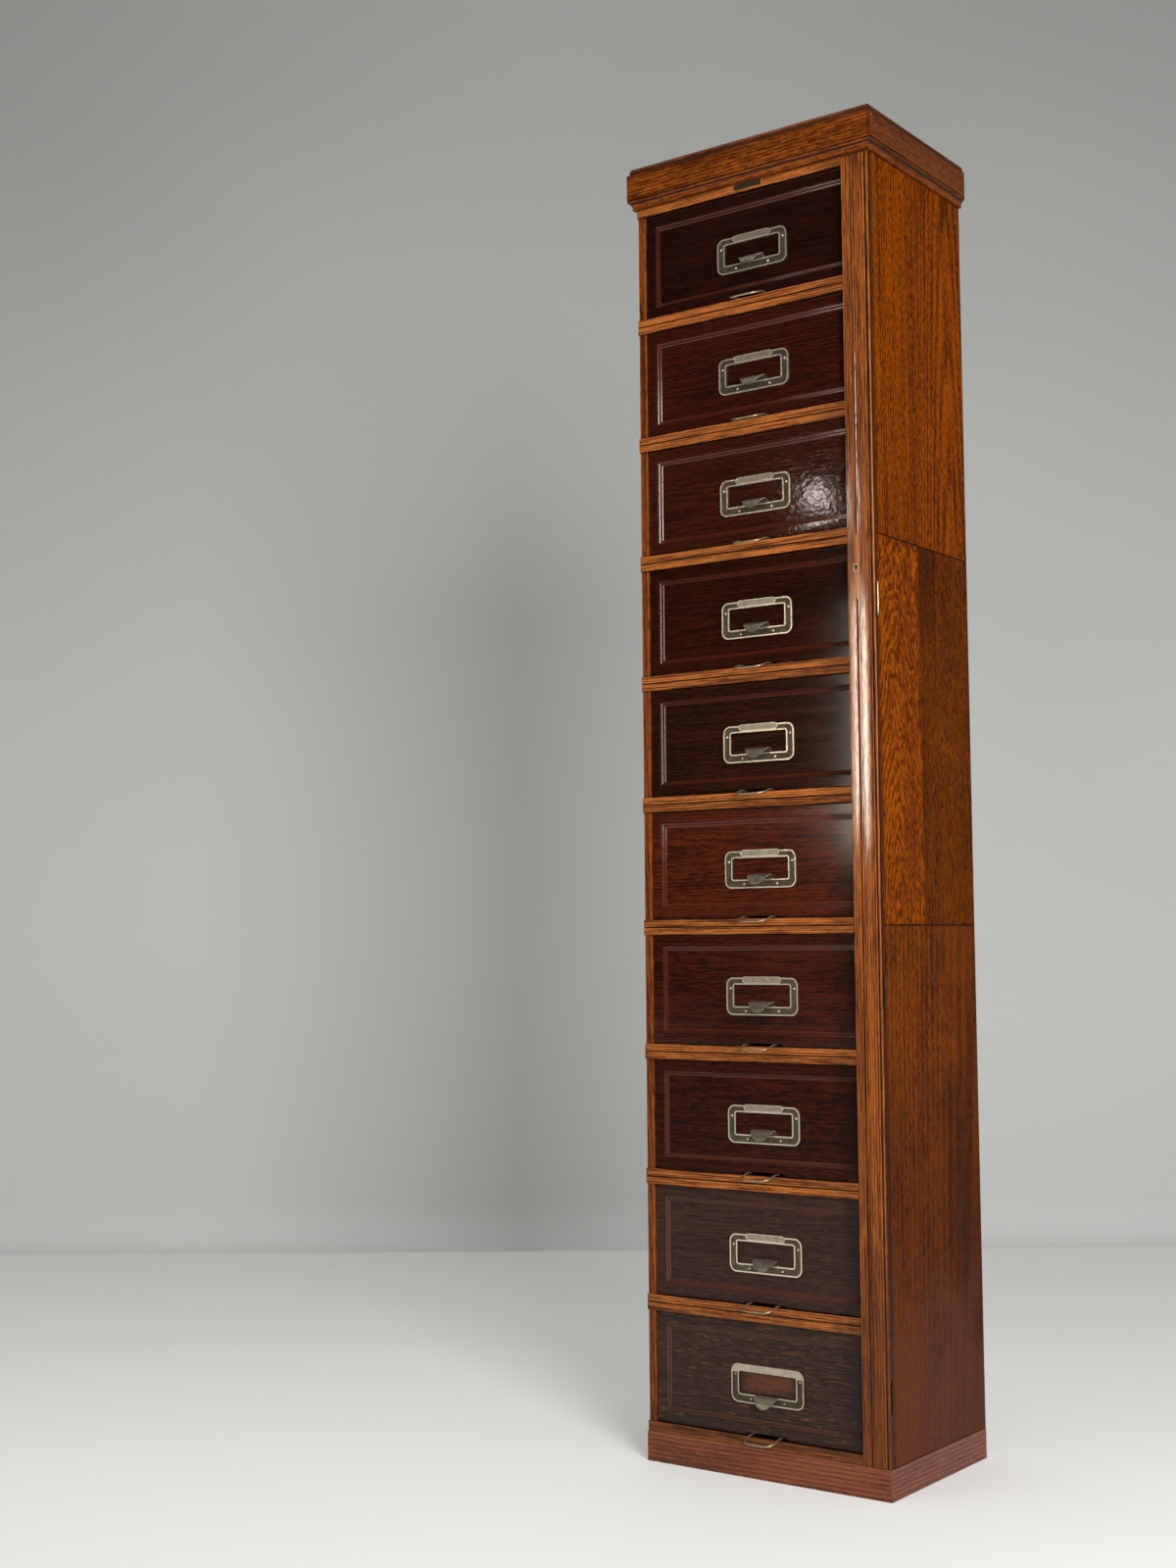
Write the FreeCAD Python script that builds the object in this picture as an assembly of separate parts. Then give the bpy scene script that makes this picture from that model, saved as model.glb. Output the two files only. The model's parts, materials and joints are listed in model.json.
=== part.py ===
"""Tall oak filing chest: ten panelled drawers behind a hinged locking stile.

Millimetres, +Z up, front towards -Y, origin under the middle of the whole chest.
"""
import FreeCAD
import Part
import math
import os

Vec = FreeCAD.Vector

# Case, overall
body_width = 390.0
body_depth = 286.0
panel_thickness = 12.0
back_thickness = 6.0
side_setback = 3.5
drawers_per_section = (3, 3, 4)

# Heights from the floor up
plinth_height = 42.0
plinth_thickness = 18.0
plinth_proud = 1.0
bottom_rail_height = 14.0
opening_height = 157.0
rail_height = 22.0
top_rail_height = 12.0
moulding_height = 15.0
fascia_height = 39.0
top_board_thickness = 11.0

# Cornice outline
cornice_overhang = 11.0
top_board_step = 3.5
top_board_round_share = 0.6

# Moulding under the fascia, as shares of its projection and of its height
moulding_fillet_out = 0.41
moulding_fillet_height = 0.2
moulding_cove_out = 0.71
moulding_cove_height = 0.67
moulding_cove_bow_out = 0.3
moulding_cove_bow_height = 0.6
moulding_bead_start = 0.765
moulding_bead_out = 0.945
moulding_bead_height = 0.92
moulding_bead_bow_out = 0.75
moulding_bead_bow_height = 0.35

# Front rails
rail_depth = 24.0
rail_groove_width = 1.6
rail_groove_depth = 1.8

# Locking stile, seen in plan from its free edge to its hinged edge
stile_width = 41.5
stile_thickness = 6.0
stile_edge_gap = 0.6
stile_end_gap = 0.5
stile_flat_width = 12.6
stile_channel_width = 5.4
stile_channel_depth = 2.0
stile_reed_gap = 0.9
stile_reed_share = 0.75
stile_small_bead_width = 4.2
stile_small_bead_depth = 0.7
stile_quirk_width = 1.8
stile_quirk_depth = 2.4
stile_bead_width = 4.4
stile_return_quirk = 1.1

# Butt hinges at the outer corner
hinge_count = 4
hinge_end_inset = 92.5
hinge_height = 40.0
hinge_leaf_width = 10.0
hinge_leaf_thickness = 0.9
hinge_barrel_radius = 1.7
hinge_barrel_proud = 0.9
hinge_pin_radius = 0.8
hinge_pin_gap = 0.05
hinge_knuckles = 5
hinge_knuckle_gap = 0.2
hinge_gap = 0.6
hinge_pocket_gap = 0.4

# Lock on the back of the stile
keyhole_drop = 34.0
keyhole_inset = 13.0
keyhole_radius = 2.1
keyhole_slot_width = 2.4
keyhole_slot_drop = 5.0
escutcheon_width = 8.6
escutcheon_height = 13.5
escutcheon_thickness = 0.8
patch_height = 90.0
lock_case_height = 46.0
lock_case_depth = 11.0
lock_case_gap = 1.0
bolt_length = 15.0
bolt_height = 9.0
bolt_thickness = 5.0
bolt_gap = 0.3
bolt_throw = 6.0
mortise_gap = 0.5

# Drawers
front_setback = 6.0
front_gap = 1.0
front_end_gap = 1.0
front_board_thickness = 13.0
border_relief = 5.0
border_width = 15.0
ridge_width = 3.7
ridge_step = 0.8
ridge_bow_width = 0.72
ridge_bow_drop = 0.3
scoop_margin = 12.0
drawer_side_gap = 0.8
running_gap = 0.3
box_side_thickness = 8.0
box_side_height = 138.0
box_back_drop = 6.0
box_bottom_thickness = 4.0
drawer_back_gap = 8.0

# Runners and guides
runner_width = 16.0
runner_thickness = 12.0
guide_thickness = 12.0
guide_height = 30.0
guide_gap = 0.8

# Label frame with its pull
label_width = 117.0
label_height = 53.0
label_corner = 11.0
label_plate = 1.6
label_rim_width = 2.0
label_rim_raise = 1.2
label_side_bar = 12.5
label_top_bar = 10.0
label_bottom_bar = 12.5
label_window_corner = 2.0
label_drop = 9.0
label_flat_bar = 12.0
cartouche_width = 64.0
cartouche_height = 9.4
cartouche_lift = 1.8
cartouche_raise = 1.7
cartouche_rim = 1.0
cartouche_sink = 0.5
pin_head_radius = 2.1
pin_head_raise = 1.3
pin_shank_radius = 0.9
pin_top_inset = 15.0
pin_bottom_spread = 54.0
hood_width = 37.0
hood_reach = 15.0
hood_drop = 15.5
hood_thickness = 1.4
hood_trim = 0.4
hood_rise = 7.5
hood_lip_radius = 14.0
hood_shoulder = 3.5

# Wire finger loop under each front
loop_width = 49.0
loop_reach = 22.0
loop_wire_radius = 1.3
loop_corner_share = 0.6
loop_seat_gap = 0.2
loop_tail = 30.0
loop_tilt = 18.0

# Blank plate on the top rail
plate_width = 45.0
plate_height = 8.0
plate_lift = 1.5
plate_thickness = 0.8
plate_pin_radius = 0.9
plate_pin_inset = 3.0
plate_pin_raise = 0.5

# Places worked out from the sizes above
half = body_width / 2
front = -(body_depth - cornice_overhang) / 2
back = front + body_depth
inner = half - panel_thickness
drawer_count = sum(drawers_per_section)
pitch = opening_height + rail_height
first_opening = plinth_height + bottom_rail_height
body_top = first_opening + drawer_count * opening_height + (drawer_count - 1) * rail_height + top_rail_height
fascia_bottom = body_top + moulding_height
fascia_top = fascia_bottom + fascia_height
case_back = back - back_thickness
rail_back = front + rail_depth
stile_left = half - stile_width
stile_back = front + stile_thickness
right_edge = stile_back + hinge_gap
stile_bottom = plinth_height + stile_end_gap
stile_top = body_top - stile_end_gap
drawer_left = -inner + drawer_side_gap
drawer_right = stile_left - front_end_gap
border_face = front + front_setback
field_face = border_face + border_relief
board_back = field_face + front_board_thickness
box_end = case_back - drawer_back_gap
hinge_x = half + hinge_barrel_proud
hinge_y = stile_back + hinge_gap / 2
lock_bay = drawer_count - drawers_per_section[0] - 1


def opening_bottom(level):
    """Bottom of an opening, counted up from 0 at the lowest drawer."""
    return first_opening + level * pitch


def section_seams():
    """Heights where the stacked side boards meet, from the floor up."""
    heights = [plinth_height]
    level = 0
    for count in reversed(drawers_per_section[1:]):
        level += count
        heights.append(opening_bottom(level) - rail_height / 2)
    heights.append(fascia_top)
    return heights


def box(x0, x1, y0, y1, z0, z1):
    return Part.makeBox(x1 - x0, y1 - y0, z1 - z0, Vec(x0, y0, z0))


def rod(radius, start, end):
    return Part.makeCylinder(radius, (end - start).Length, start, end - start)


def outline(points):
    """Face from a list of points; a pair of points in the list is an arc's middle and end."""
    edges = []
    here = points[0]
    for item in points[1:]:
        if isinstance(item, tuple):
            edges.append(Part.Arc(here, item[0], item[1]).toShape())
            here = item[1]
        else:
            edges.append(Part.LineSegment(here, item).toShape())
            here = item
    if not here.isEqual(points[0], 1e-7):
        edges.append(Part.LineSegment(here, points[0]).toShape())
    return Part.Face(Part.Wire(edges))


def trimmed(shape, point, outward):
    """Shape with everything on the outward side of a plane taken away."""
    size = shape.BoundBox.DiagonalLength * 2
    middle = shape.BoundBox.Center
    normal = Vec(outward).normalize()
    foot = middle - normal * (middle - point).dot(normal)
    cutter = Part.makeBox(size, size, size, Vec(-size / 2, -size / 2, 0))
    cutter.Placement = FreeCAD.Placement(foot, FreeCAD.Rotation(Vec(0, 0, 1), normal))
    return shape.cut(cutter)


def moved(shape, x, y, z):
    copy = shape.copy()
    copy.translate(Vec(x, y, z))
    return copy


def save(name, solids):
    """Write a node as one solid or as a group of separate solids."""
    parts = [solid for shape in solids for solid in shape.Solids]
    shape = parts[0] if len(parts) == 1 else Part.makeCompound(parts)
    shape.exportStep("parts/" + name + ".step")


def mitred_surround(profile, x_face, y_face):
    """Three strips of a moulding round the front and sides, mitred at the front corners.

    profile(place) gives the section as a face; place(out, z) turns it to each strip.
    """
    reach = body_width + body_depth
    strips = []
    face = profile(lambda out, z: Vec(-reach, y_face - out, z))
    strip = face.extrude(Vec(2 * reach, 0, 0))
    strip = trimmed(strip, Vec(x_face, y_face, 0), Vec(1, 1, 0))
    strips.append(trimmed(strip, Vec(-x_face, y_face, 0), Vec(-1, 1, 0)))
    for side in (-1, 1):
        face = profile(lambda out, z: Vec(side * (x_face + out), y_face - reach, z))
        strip = face.extrude(Vec(0, reach + back - y_face, 0))
        strips.append(trimmed(strip, Vec(side * x_face, y_face, 0), Vec(-side, -1, 0)))
    return strips


def plinth():
    """Four boards on the floor; the front one is mitred to the sides."""
    x_face = half + plinth_proud - plinth_thickness
    y_face = front - plinth_proud + plinth_thickness

    def section(place):
        return outline([place(0, 0), place(plinth_thickness, 0),
                        place(plinth_thickness, plinth_height), place(0, plinth_height)])

    boards = mitred_surround(section, x_face, y_face)
    boards.append(box(-x_face, x_face, back - plinth_thickness, back, 0, plinth_height))
    return boards


def carcass_boards():
    """Base board under the lowest drawer and the board over the top one."""
    return [box(-inner, inner, rail_back, case_back, plinth_height, first_opening),
            box(-inner, inner, rail_back, case_back, body_top - top_rail_height, body_top)]


def stacked_boards(x0, x1, y0, y1):
    seams = section_seams()
    return [box(x0, x1, y0, y1, low, high) for low, high in zip(seams, seams[1:])]


def hinge_heights():
    low = stile_bottom + hinge_end_inset
    high = stile_top - hinge_end_inset
    step = (high - low) / (hinge_count - 1)
    return [low + step * number for number in range(hinge_count)]


def hinge_pocket(middle):
    """Room for the barrel in the corner of the stile and of the side."""
    reach = hinge_height / 2 + hinge_pocket_gap
    radius = hinge_barrel_radius + hinge_pocket_gap
    return rod(radius, Vec(hinge_x, hinge_y, middle - reach), Vec(hinge_x, hinge_y, middle + reach))


def leaf_plate(middle, fixed, x1):
    """Flat of one hinge leaf up to x1, let into the wood behind or in front of the joint."""
    y0 = right_edge if fixed else stile_back - hinge_leaf_thickness
    reach = hinge_height / 2
    return box(half - hinge_leaf_width, x1, y0, y0 + hinge_leaf_thickness, middle - reach, middle + reach)


def hinge_leaf(middle, fixed):
    """Leaf with every second knuckle of the barrel."""
    leaf = leaf_plate(middle, fixed, hinge_x - hinge_barrel_radius - hinge_knuckle_gap)
    flat = leaf.BoundBox
    share = hinge_height / hinge_knuckles
    bottom = middle - hinge_height / 2
    for number in range(0 if fixed else 1, hinge_knuckles, 2):
        low = bottom + share * number + hinge_knuckle_gap / 2
        high = bottom + share * (number + 1) - hinge_knuckle_gap / 2
        leaf = leaf.fuse(box(flat.XMin, hinge_x, flat.YMin, flat.YMax, low, high))
        leaf = leaf.fuse(rod(hinge_barrel_radius, Vec(hinge_x, hinge_y, low), Vec(hinge_x, hinge_y, high)))
    bore = rod(hinge_pin_radius + hinge_pin_gap,
               Vec(hinge_x, hinge_y, bottom - hinge_height), Vec(hinge_x, hinge_y, middle + hinge_height))
    return leaf.cut(bore).removeSplitter()


def hinge_pin(middle):
    reach = hinge_height / 2
    return rod(hinge_pin_radius, Vec(hinge_x, hinge_y, middle - reach), Vec(hinge_x, hinge_y, middle + reach))


def bolt_middle():
    """Middle of the keyhole's height, which the bolt shares."""
    return opening_bottom(lock_bay) + opening_height - keyhole_drop


def bolt_box(grow, x0, x1):
    y_middle = stile_back + lock_case_depth / 2
    y_reach = bolt_thickness / 2 + grow
    z_reach = bolt_height / 2 + grow
    z_middle = bolt_middle()
    return box(x0, x1, y_middle - y_reach, y_middle + y_reach, z_middle - z_reach, z_middle + z_reach)


def right_side():
    """Three stacked boards with the hinges let in and the bolt's mortise."""
    boards = []
    for board in stacked_boards(inner, half, right_edge, back):
        for middle in hinge_heights():
            board = board.cut(leaf_plate(middle, True, hinge_x)).cut(hinge_pocket(middle))
        boards.append(board.cut(bolt_box(mortise_gap, inner, inner + bolt_throw + mortise_gap)))
    return boards


def rail_plan(right_end, z):
    """Rail from above: lapped over the left side, cut back behind the stile on the right."""
    return outline([Vec(-half, front, z), Vec(right_end, front, z), Vec(right_end, right_edge, z),
                    Vec(inner, right_edge, z), Vec(inner, rail_back, z), Vec(-inner, rail_back, z),
                    Vec(-inner, front + side_setback, z), Vec(-half, front + side_setback, z)])


def front_rails():
    """Bottom rail, a grooved rail under each opening, and the top rail with its frieze."""
    visible_end = stile_left - stile_edge_gap
    rails = [rail_plan(visible_end, plinth_height).extrude(Vec(0, 0, bottom_rail_height))]
    for level in range(1, drawer_count):
        top = opening_bottom(level)
        rail = rail_plan(visible_end, top - rail_height).extrude(Vec(0, 0, rail_height))
        middle = top - rail_height / 2
        reach = rail_groove_width / 2
        groove = box(-half, visible_end, front, front + rail_groove_depth, middle - reach, middle + reach)
        rails.append(rail.cut(groove))
    top_rail = rail_plan(visible_end, body_top - top_rail_height).extrude(Vec(0, 0, top_rail_height))
    frieze = rail_plan(half, body_top).extrude(Vec(0, 0, fascia_top - body_top))
    rails.append(top_rail.fuse(frieze).removeSplitter())
    return rails


def drawer_runners():
    """A runner on each side under every drawer above the base, and a guide at its right."""
    strips = []
    right_start = drawer_right - runner_width
    for level in range(drawer_count):
        top = opening_bottom(level)
        if level > 0:
            low = top - runner_thickness
            strips.append(box(-inner, -inner + runner_width, rail_back, case_back, low, top))
            strips.append(box(right_start, inner, rail_back, case_back, low, top))
        guide = drawer_right + guide_gap
        strips.append(box(guide, guide + guide_thickness, rail_back, case_back, top, top + guide_height))
    return strips


def top_board():
    """Board on top, stepped back from the fascia and rounded on its three shown edges."""
    x = half + cornice_overhang - top_board_step
    y = front - cornice_overhang + top_board_step
    top = fascia_top + top_board_thickness
    board = box(-x, x, y, back, fascia_top, top)
    shown = []
    for edge in board.Edges:
        centre = edge.CenterOfMass
        if abs(centre.z - top) < 1e-6 and centre.y < back - 1e-6:
            shown.append(edge)
    return board.makeFillet(top_board_round_share * top_board_thickness, shown)


def cornice_fascia():
    def section(place):
        return outline([place(0, fascia_bottom), place(cornice_overhang, fascia_bottom),
                        place(cornice_overhang, fascia_top), place(0, fascia_top)])

    return mitred_surround(section, half, front)


def cornice_moulding():
    """Small moulding under the fascia: fillet, cove and bead from the bottom up."""
    cove_out = moulding_cove_out - moulding_fillet_out
    cove_height = moulding_cove_height - moulding_fillet_height
    bead_out = moulding_bead_out - moulding_bead_start
    bead_height = moulding_bead_height - moulding_cove_height

    def section(place):
        def at(out, rise):
            return place(out * cornice_overhang, body_top + rise * moulding_height)

        cove_bow = at(moulding_fillet_out + cove_out * moulding_cove_bow_out,
                      moulding_fillet_height + cove_height * moulding_cove_bow_height)
        bead_bow = at(moulding_bead_start + bead_out * moulding_bead_bow_out,
                      moulding_cove_height + bead_height * moulding_bead_bow_height)
        return outline([at(0, 0), at(moulding_fillet_out, 0), at(moulding_fillet_out, moulding_fillet_height),
                        (cove_bow, at(moulding_cove_out, moulding_cove_height)),
                        at(moulding_bead_start, moulding_cove_height),
                        (bead_bow, at(moulding_bead_out, moulding_bead_height)),
                        at(moulding_bead_out, 1), at(0, 1)])

    return mitred_surround(section, half, front)


def blank_plate():
    """Thin plate and its two pins on the top rail, with nothing written on it."""
    z = body_top - top_rail_height / 2 + plate_lift
    reach = plate_width / 2
    face = front - plate_thickness
    solids = [box(-reach, reach, face, front, z - plate_height / 2, z + plate_height / 2)]
    for side in (-1, 1):
        x = side * (reach - plate_pin_inset)
        solids.append(rod(plate_pin_radius, Vec(x, face, z), Vec(x, face - plate_pin_raise, z)))
    return solids


def locking_stile():
    """Full-height board with a reed in a channel and two corner beads, and the patch round the keyhole."""
    channel = stile_left + stile_flat_width
    channel_end = channel + stile_channel_width
    reed = channel + stile_reed_gap
    reed_end = channel_end - stile_reed_gap
    sunk = front + stile_channel_depth
    reed_top = sunk - stile_channel_depth * stile_reed_share
    bead = half - stile_bead_width
    quirk = bead - stile_quirk_width
    quirk_floor = front + stile_quirk_depth
    small_bead = quirk - stile_small_bead_width
    valley = front + stile_small_bead_depth
    return_floor = half - stile_return_quirk
    return_end = quirk_floor + stile_return_quirk

    def place(x, y):
        return Vec(x, y, stile_bottom)

    plan = outline([place(stile_left, front), place(channel, front), place(channel, sunk),
                    place(reed, sunk), (place((reed + reed_end) / 2, reed_top), place(reed_end, sunk)),
                    place(channel_end, sunk), place(channel_end, front), place(small_bead, front),
                    place(small_bead, valley), (place((small_bead + quirk) / 2, front), place(quirk, valley)),
                    place(quirk, quirk_floor), place(bead, quirk_floor),
                    (place(half - stile_bead_width / 2, front), place(half, quirk_floor)),
                    place(return_floor, quirk_floor), place(return_floor, return_end),
                    place(half, return_end), place(half, stile_back), place(stile_left, stile_back)])
    board = plan.extrude(Vec(0, 0, stile_top - stile_bottom))
    for middle in hinge_heights():
        board = board.cut(leaf_plate(middle, False, hinge_x)).cut(hinge_pocket(middle))
    middle = bolt_middle()
    room = box(channel, channel_end, front, sunk, middle - patch_height / 2, middle + patch_height / 2)
    board = board.cut(room)
    return [board.cut(keyhole(stile_back)), room.cut(keyhole(stile_back))]


def keyhole(depth):
    """Round hole with a slot below it, from in front of the stile to a depth."""
    x = stile_left + keyhole_inset
    z = bolt_middle()
    reach = keyhole_slot_width / 2
    start = front - stile_thickness
    hole = rod(keyhole_radius, Vec(x, start, z), Vec(x, depth, z))
    return hole.fuse(box(x - reach, x + reach, start, depth, z - keyhole_slot_drop, z))


def keyhole_escutcheon():
    """Oval rim round the keyhole."""
    x = stile_left + keyhole_inset
    z = bolt_middle() - keyhole_slot_drop / 4
    wide = escutcheon_width / 2
    tall = escutcheon_height / 2 - wide
    y = front - escutcheon_thickness
    face = outline([Vec(x - wide, y, z - tall), (Vec(x, y, z - tall - wide), Vec(x + wide, y, z - tall)),
                    Vec(x + wide, y, z + tall), (Vec(x, y, z + tall + wide), Vec(x - wide, y, z + tall))])
    return face.extrude(Vec(0, escutcheon_thickness, 0)).cut(keyhole(stile_back))


def lock_case():
    """Closed case screwed to the back of the stile, with a channel for the bolt."""
    x0 = stile_left + lock_case_gap
    x1 = inner - lock_case_gap
    z = bolt_middle()
    reach = lock_case_height / 2
    case = box(x0, x1, stile_back, stile_back + lock_case_depth, z - reach, z + reach)
    return case.cut(bolt_box(bolt_gap, x1 - bolt_length - bolt_gap, x1))


def lock_bolt():
    """Bolt drawn back flush with the case; it shoots into the right side."""
    x1 = inner - lock_case_gap
    return bolt_box(0, x1 - bolt_length, x1)


def drawer_front():
    """Board with three mitred border strips, moulded on their inner edges, open at the right."""
    z0 = front_gap
    z1 = opening_height - front_gap
    board = box(drawer_left, drawer_right, field_face, board_back, z0, z1)
    drop = (border_relief - 2 * ridge_step) / 2

    def section(place):
        points = [place(0, 0), place(border_width, 0)]
        u = border_width
        depth = 0
        for ridge in range(2):
            depth += ridge_step
            points.append(place(u, depth))
            points.append((place(u + ridge_width * ridge_bow_width, depth + drop * ridge_bow_drop),
                           place(u + ridge_width, depth + drop)))
            u += ridge_width
            depth += drop
        return outline(points + [place(0, border_relief)])

    length = Vec(drawer_right - drawer_left, 0, 0)
    upper = section(lambda u, d: Vec(drawer_left, border_face + d, z1 - u)).extrude(length)
    lower = section(lambda u, d: Vec(drawer_left, border_face + d, z0 + u)).extrude(length)
    left = section(lambda u, d: Vec(drawer_left + u, border_face + d, z0)).extrude(Vec(0, 0, z1 - z0))
    upper_corner = Vec(drawer_left, 0, z1)
    lower_corner = Vec(drawer_left, 0, z0)
    upper = trimmed(upper, upper_corner, Vec(-1, 0, -1))
    lower = trimmed(lower, lower_corner, Vec(-1, 0, 1))
    left = trimmed(trimmed(left, upper_corner, Vec(1, 0, 1)), lower_corner, Vec(1, 0, -1))
    scoop = wire_scoop()
    return [board.cut(scoop), upper, left, lower.cut(scoop)]


def loop_height():
    """Height of the wire's middle above the opening's bottom: it lies in the scoop."""
    return front_gap + loop_seat_gap + loop_wire_radius


def wire_scoop():
    """Shallow cut in the front's lower edge that clears both legs of the wire, with round shoulders."""
    leg = loop_width / 2
    end = leg + scoop_margin
    rise = 2 * (loop_wire_radius + loop_seat_gap)
    radius = (scoop_margin ** 2 + rise ** 2) / (2 * rise)
    half_turn = math.asin(scoop_margin / radius) / 2
    shoulder = leg + radius * math.sin(half_turn)
    shoulder_rise = rise - radius * (1 - math.cos(half_turn))

    def at(x, height):
        return Vec(x, front, front_gap + height)

    plan = outline([at(-end, 0), (at(-shoulder, shoulder_rise), at(-leg, rise)), at(leg, rise),
                    (at(shoulder, shoulder_rise), at(end, 0)), at(end, -rise), at(-end, -rise)])
    return plan.extrude(Vec(0, board_back + front_board_thickness - front, 0))


def drawer_box():
    """Two sides, a back and a bottom behind the front."""
    z0 = running_gap
    top = z0 + box_side_height
    left = drawer_left + box_side_thickness
    right = drawer_right - box_side_thickness
    back_board = box_end - box_side_thickness
    floor = loop_height() + loop_wire_radius + loop_seat_gap
    return [box(drawer_left, left, board_back, box_end, z0, top),
            box(right, drawer_right, board_back, box_end, z0, top),
            box(left, right, back_board, box_end, floor, top - box_back_drop),
            box(left, right, board_back, back_board, floor, floor + box_bottom_thickness)]


def rounded_plate(width, height, corner, face, depth):
    """Upright plate with round corners, centred on the middle of an opening's width."""
    x = width / 2
    z = height / 2
    r = corner
    c = r * (1 - math.sqrt(0.5))

    def at(px, pz):
        return Vec(px, face, pz)

    plan = outline([at(-x + r, -z), at(x - r, -z), (at(x - c, -z + c), at(x, -z + r)),
                    at(x, z - r), (at(x - c, z - c), at(x - r, z)),
                    at(-x + r, z), (at(-x + c, z - c), at(-x, z - r)),
                    at(-x, -z + r), (at(-x + c, -z + c), at(-x + r, -z))])
    return plan.extrude(Vec(0, depth, 0))


def pill(width, height, z, face, depth):
    """Upright plate with half-round ends."""
    x = (width - height) / 2
    r = height / 2
    plan = outline([Vec(-x, face, z - r), Vec(x, face, z - r), (Vec(x + r, face, z), Vec(x, face, z + r)),
                    Vec(-x, face, z + r), (Vec(-x - r, face, z), Vec(-x, face, z - r))])
    return plan.extrude(Vec(0, depth, 0))


def label_frame(flat_topped):
    """Card frame with rims and a hooded pull, held by four pins; a flat top bar or a blank cartouche."""
    face = field_face - label_plate
    rim_face = face - label_rim_raise
    through = label_plate + label_rim_raise
    win_width = label_width - 2 * label_side_bar
    win_height = label_height - label_top_bar - label_bottom_bar
    win_rise = (label_bottom_bar - label_top_bar) / 2
    top = label_height / 2
    frame = rounded_plate(label_width, label_height, label_corner, rim_face, through)
    inset = 2 * label_rim_width
    channel = rounded_plate(label_width - inset, label_height - inset, label_corner - label_rim_width,
                            rim_face, label_rim_raise)
    inner_rim = rounded_plate(win_width + inset, win_height + inset, label_window_corner + label_rim_width,
                              rim_face, label_rim_raise)
    window = rounded_plate(win_width, win_height, label_window_corner, rim_face, through)
    channel = channel.cut(moved(inner_rim, 0, 0, win_rise))
    if flat_topped:
        channel = channel.cut(box(-label_width, label_width, rim_face, face, top - label_flat_bar, top))
    frame = frame.cut(channel).cut(moved(window, 0, 0, win_rise))
    if not flat_topped:
        z = top - label_top_bar / 2 + cartouche_lift
        badge_face = face - cartouche_raise
        frame = frame.fuse(pill(cartouche_width, cartouche_height, z, badge_face, field_face - badge_face))
        panel_width = cartouche_width - 2 * cartouche_rim
        panel_height = cartouche_height - 2 * cartouche_rim
        frame = frame.cut(pill(panel_width, panel_height, z, badge_face, cartouche_sink))
    frame = frame.fuse(pull_hood(face, 0 if flat_topped else hood_rise)).removeSplitter()

    side_x = label_width / 2 - label_side_bar / 2
    low = label_bottom_bar / 2 - top
    pins = [(-side_x, top - pin_top_inset), (side_x, top - pin_top_inset),
            (-pin_bottom_spread / 2, low), (pin_bottom_spread / 2, low)]
    solids = []
    for x, z in pins:
        shank = rod(pin_shank_radius, Vec(x, face, z), Vec(x, field_face, z))
        frame = frame.cut(shank)
        solids.append(pin_head(x, face, z).fuse(shank).removeSplitter())
    middle = opening_height / 2 - label_drop
    return [moved(solid, 0, 0, middle) for solid in [frame] + solids]


def pin_head(x, face, z):
    """Domed head standing on the frame's channel."""
    radius = (pin_head_radius ** 2 + pin_head_raise ** 2) / (2 * pin_head_raise)
    ball = Part.makeSphere(radius, Vec(x, face - pin_head_raise + radius, z))
    return ball.common(rod(pin_head_radius, Vec(x, face - 2 * pin_head_raise, z), Vec(x, face, z)))


def pull_hood(face, rise):
    """Hood bent out of a tab with sloping shoulders: it comes forward and down, narrowing to a round lip."""
    wide = hood_width / 2
    sill = label_bottom_bar - label_height / 2
    top = sill + rise
    bow = math.sqrt(0.5)
    sag = 1 - bow
    inner_reach = hood_reach - hood_thickness
    inner_drop = hood_drop - hood_thickness

    def at(out, down):
        return Vec(-wide, face - out, top - down)

    section = outline([at(0, 0), (at(hood_reach * bow, hood_drop * sag), at(hood_reach, hood_drop)),
                       at(inner_reach, hood_drop),
                       (at(inner_reach * bow, hood_thickness + inner_drop * sag), at(0, hood_thickness))])
    sheet = section.extrude(Vec(hood_width, 0, 0))
    root = wide + hood_trim
    knee = top - hood_thickness
    lip = top - hood_drop + hood_trim
    middle = lip + hood_lip_radius
    swing = math.acos(hood_lip_radius / math.hypot(root, knee - middle))
    angle = math.atan2(knee - middle, root) - swing
    x = hood_lip_radius * math.cos(angle)
    z = middle + hood_lip_radius * math.sin(angle)
    shape = outline([Vec(-root, face, top + hood_trim), Vec(root, face, top + hood_trim), Vec(root, face, knee),
                     Vec(x, face, z), (Vec(0, face, lip), Vec(-x, face, z)), Vec(-root, face, knee)])
    hood = sheet.common(shape.extrude(Vec(0, -hood_reach - hood_trim, 0)))
    foot = wide + hood_shoulder
    seat = sill - label_rim_width
    tab = outline([Vec(-foot, face, seat), Vec(foot, face, seat), Vec(foot, face, sill), Vec(wide, face, top),
                   Vec(-wide, face, top), Vec(-foot, face, sill)])
    return hood.fuse(tab.extrude(Vec(0, label_plate, 0)))


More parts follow.
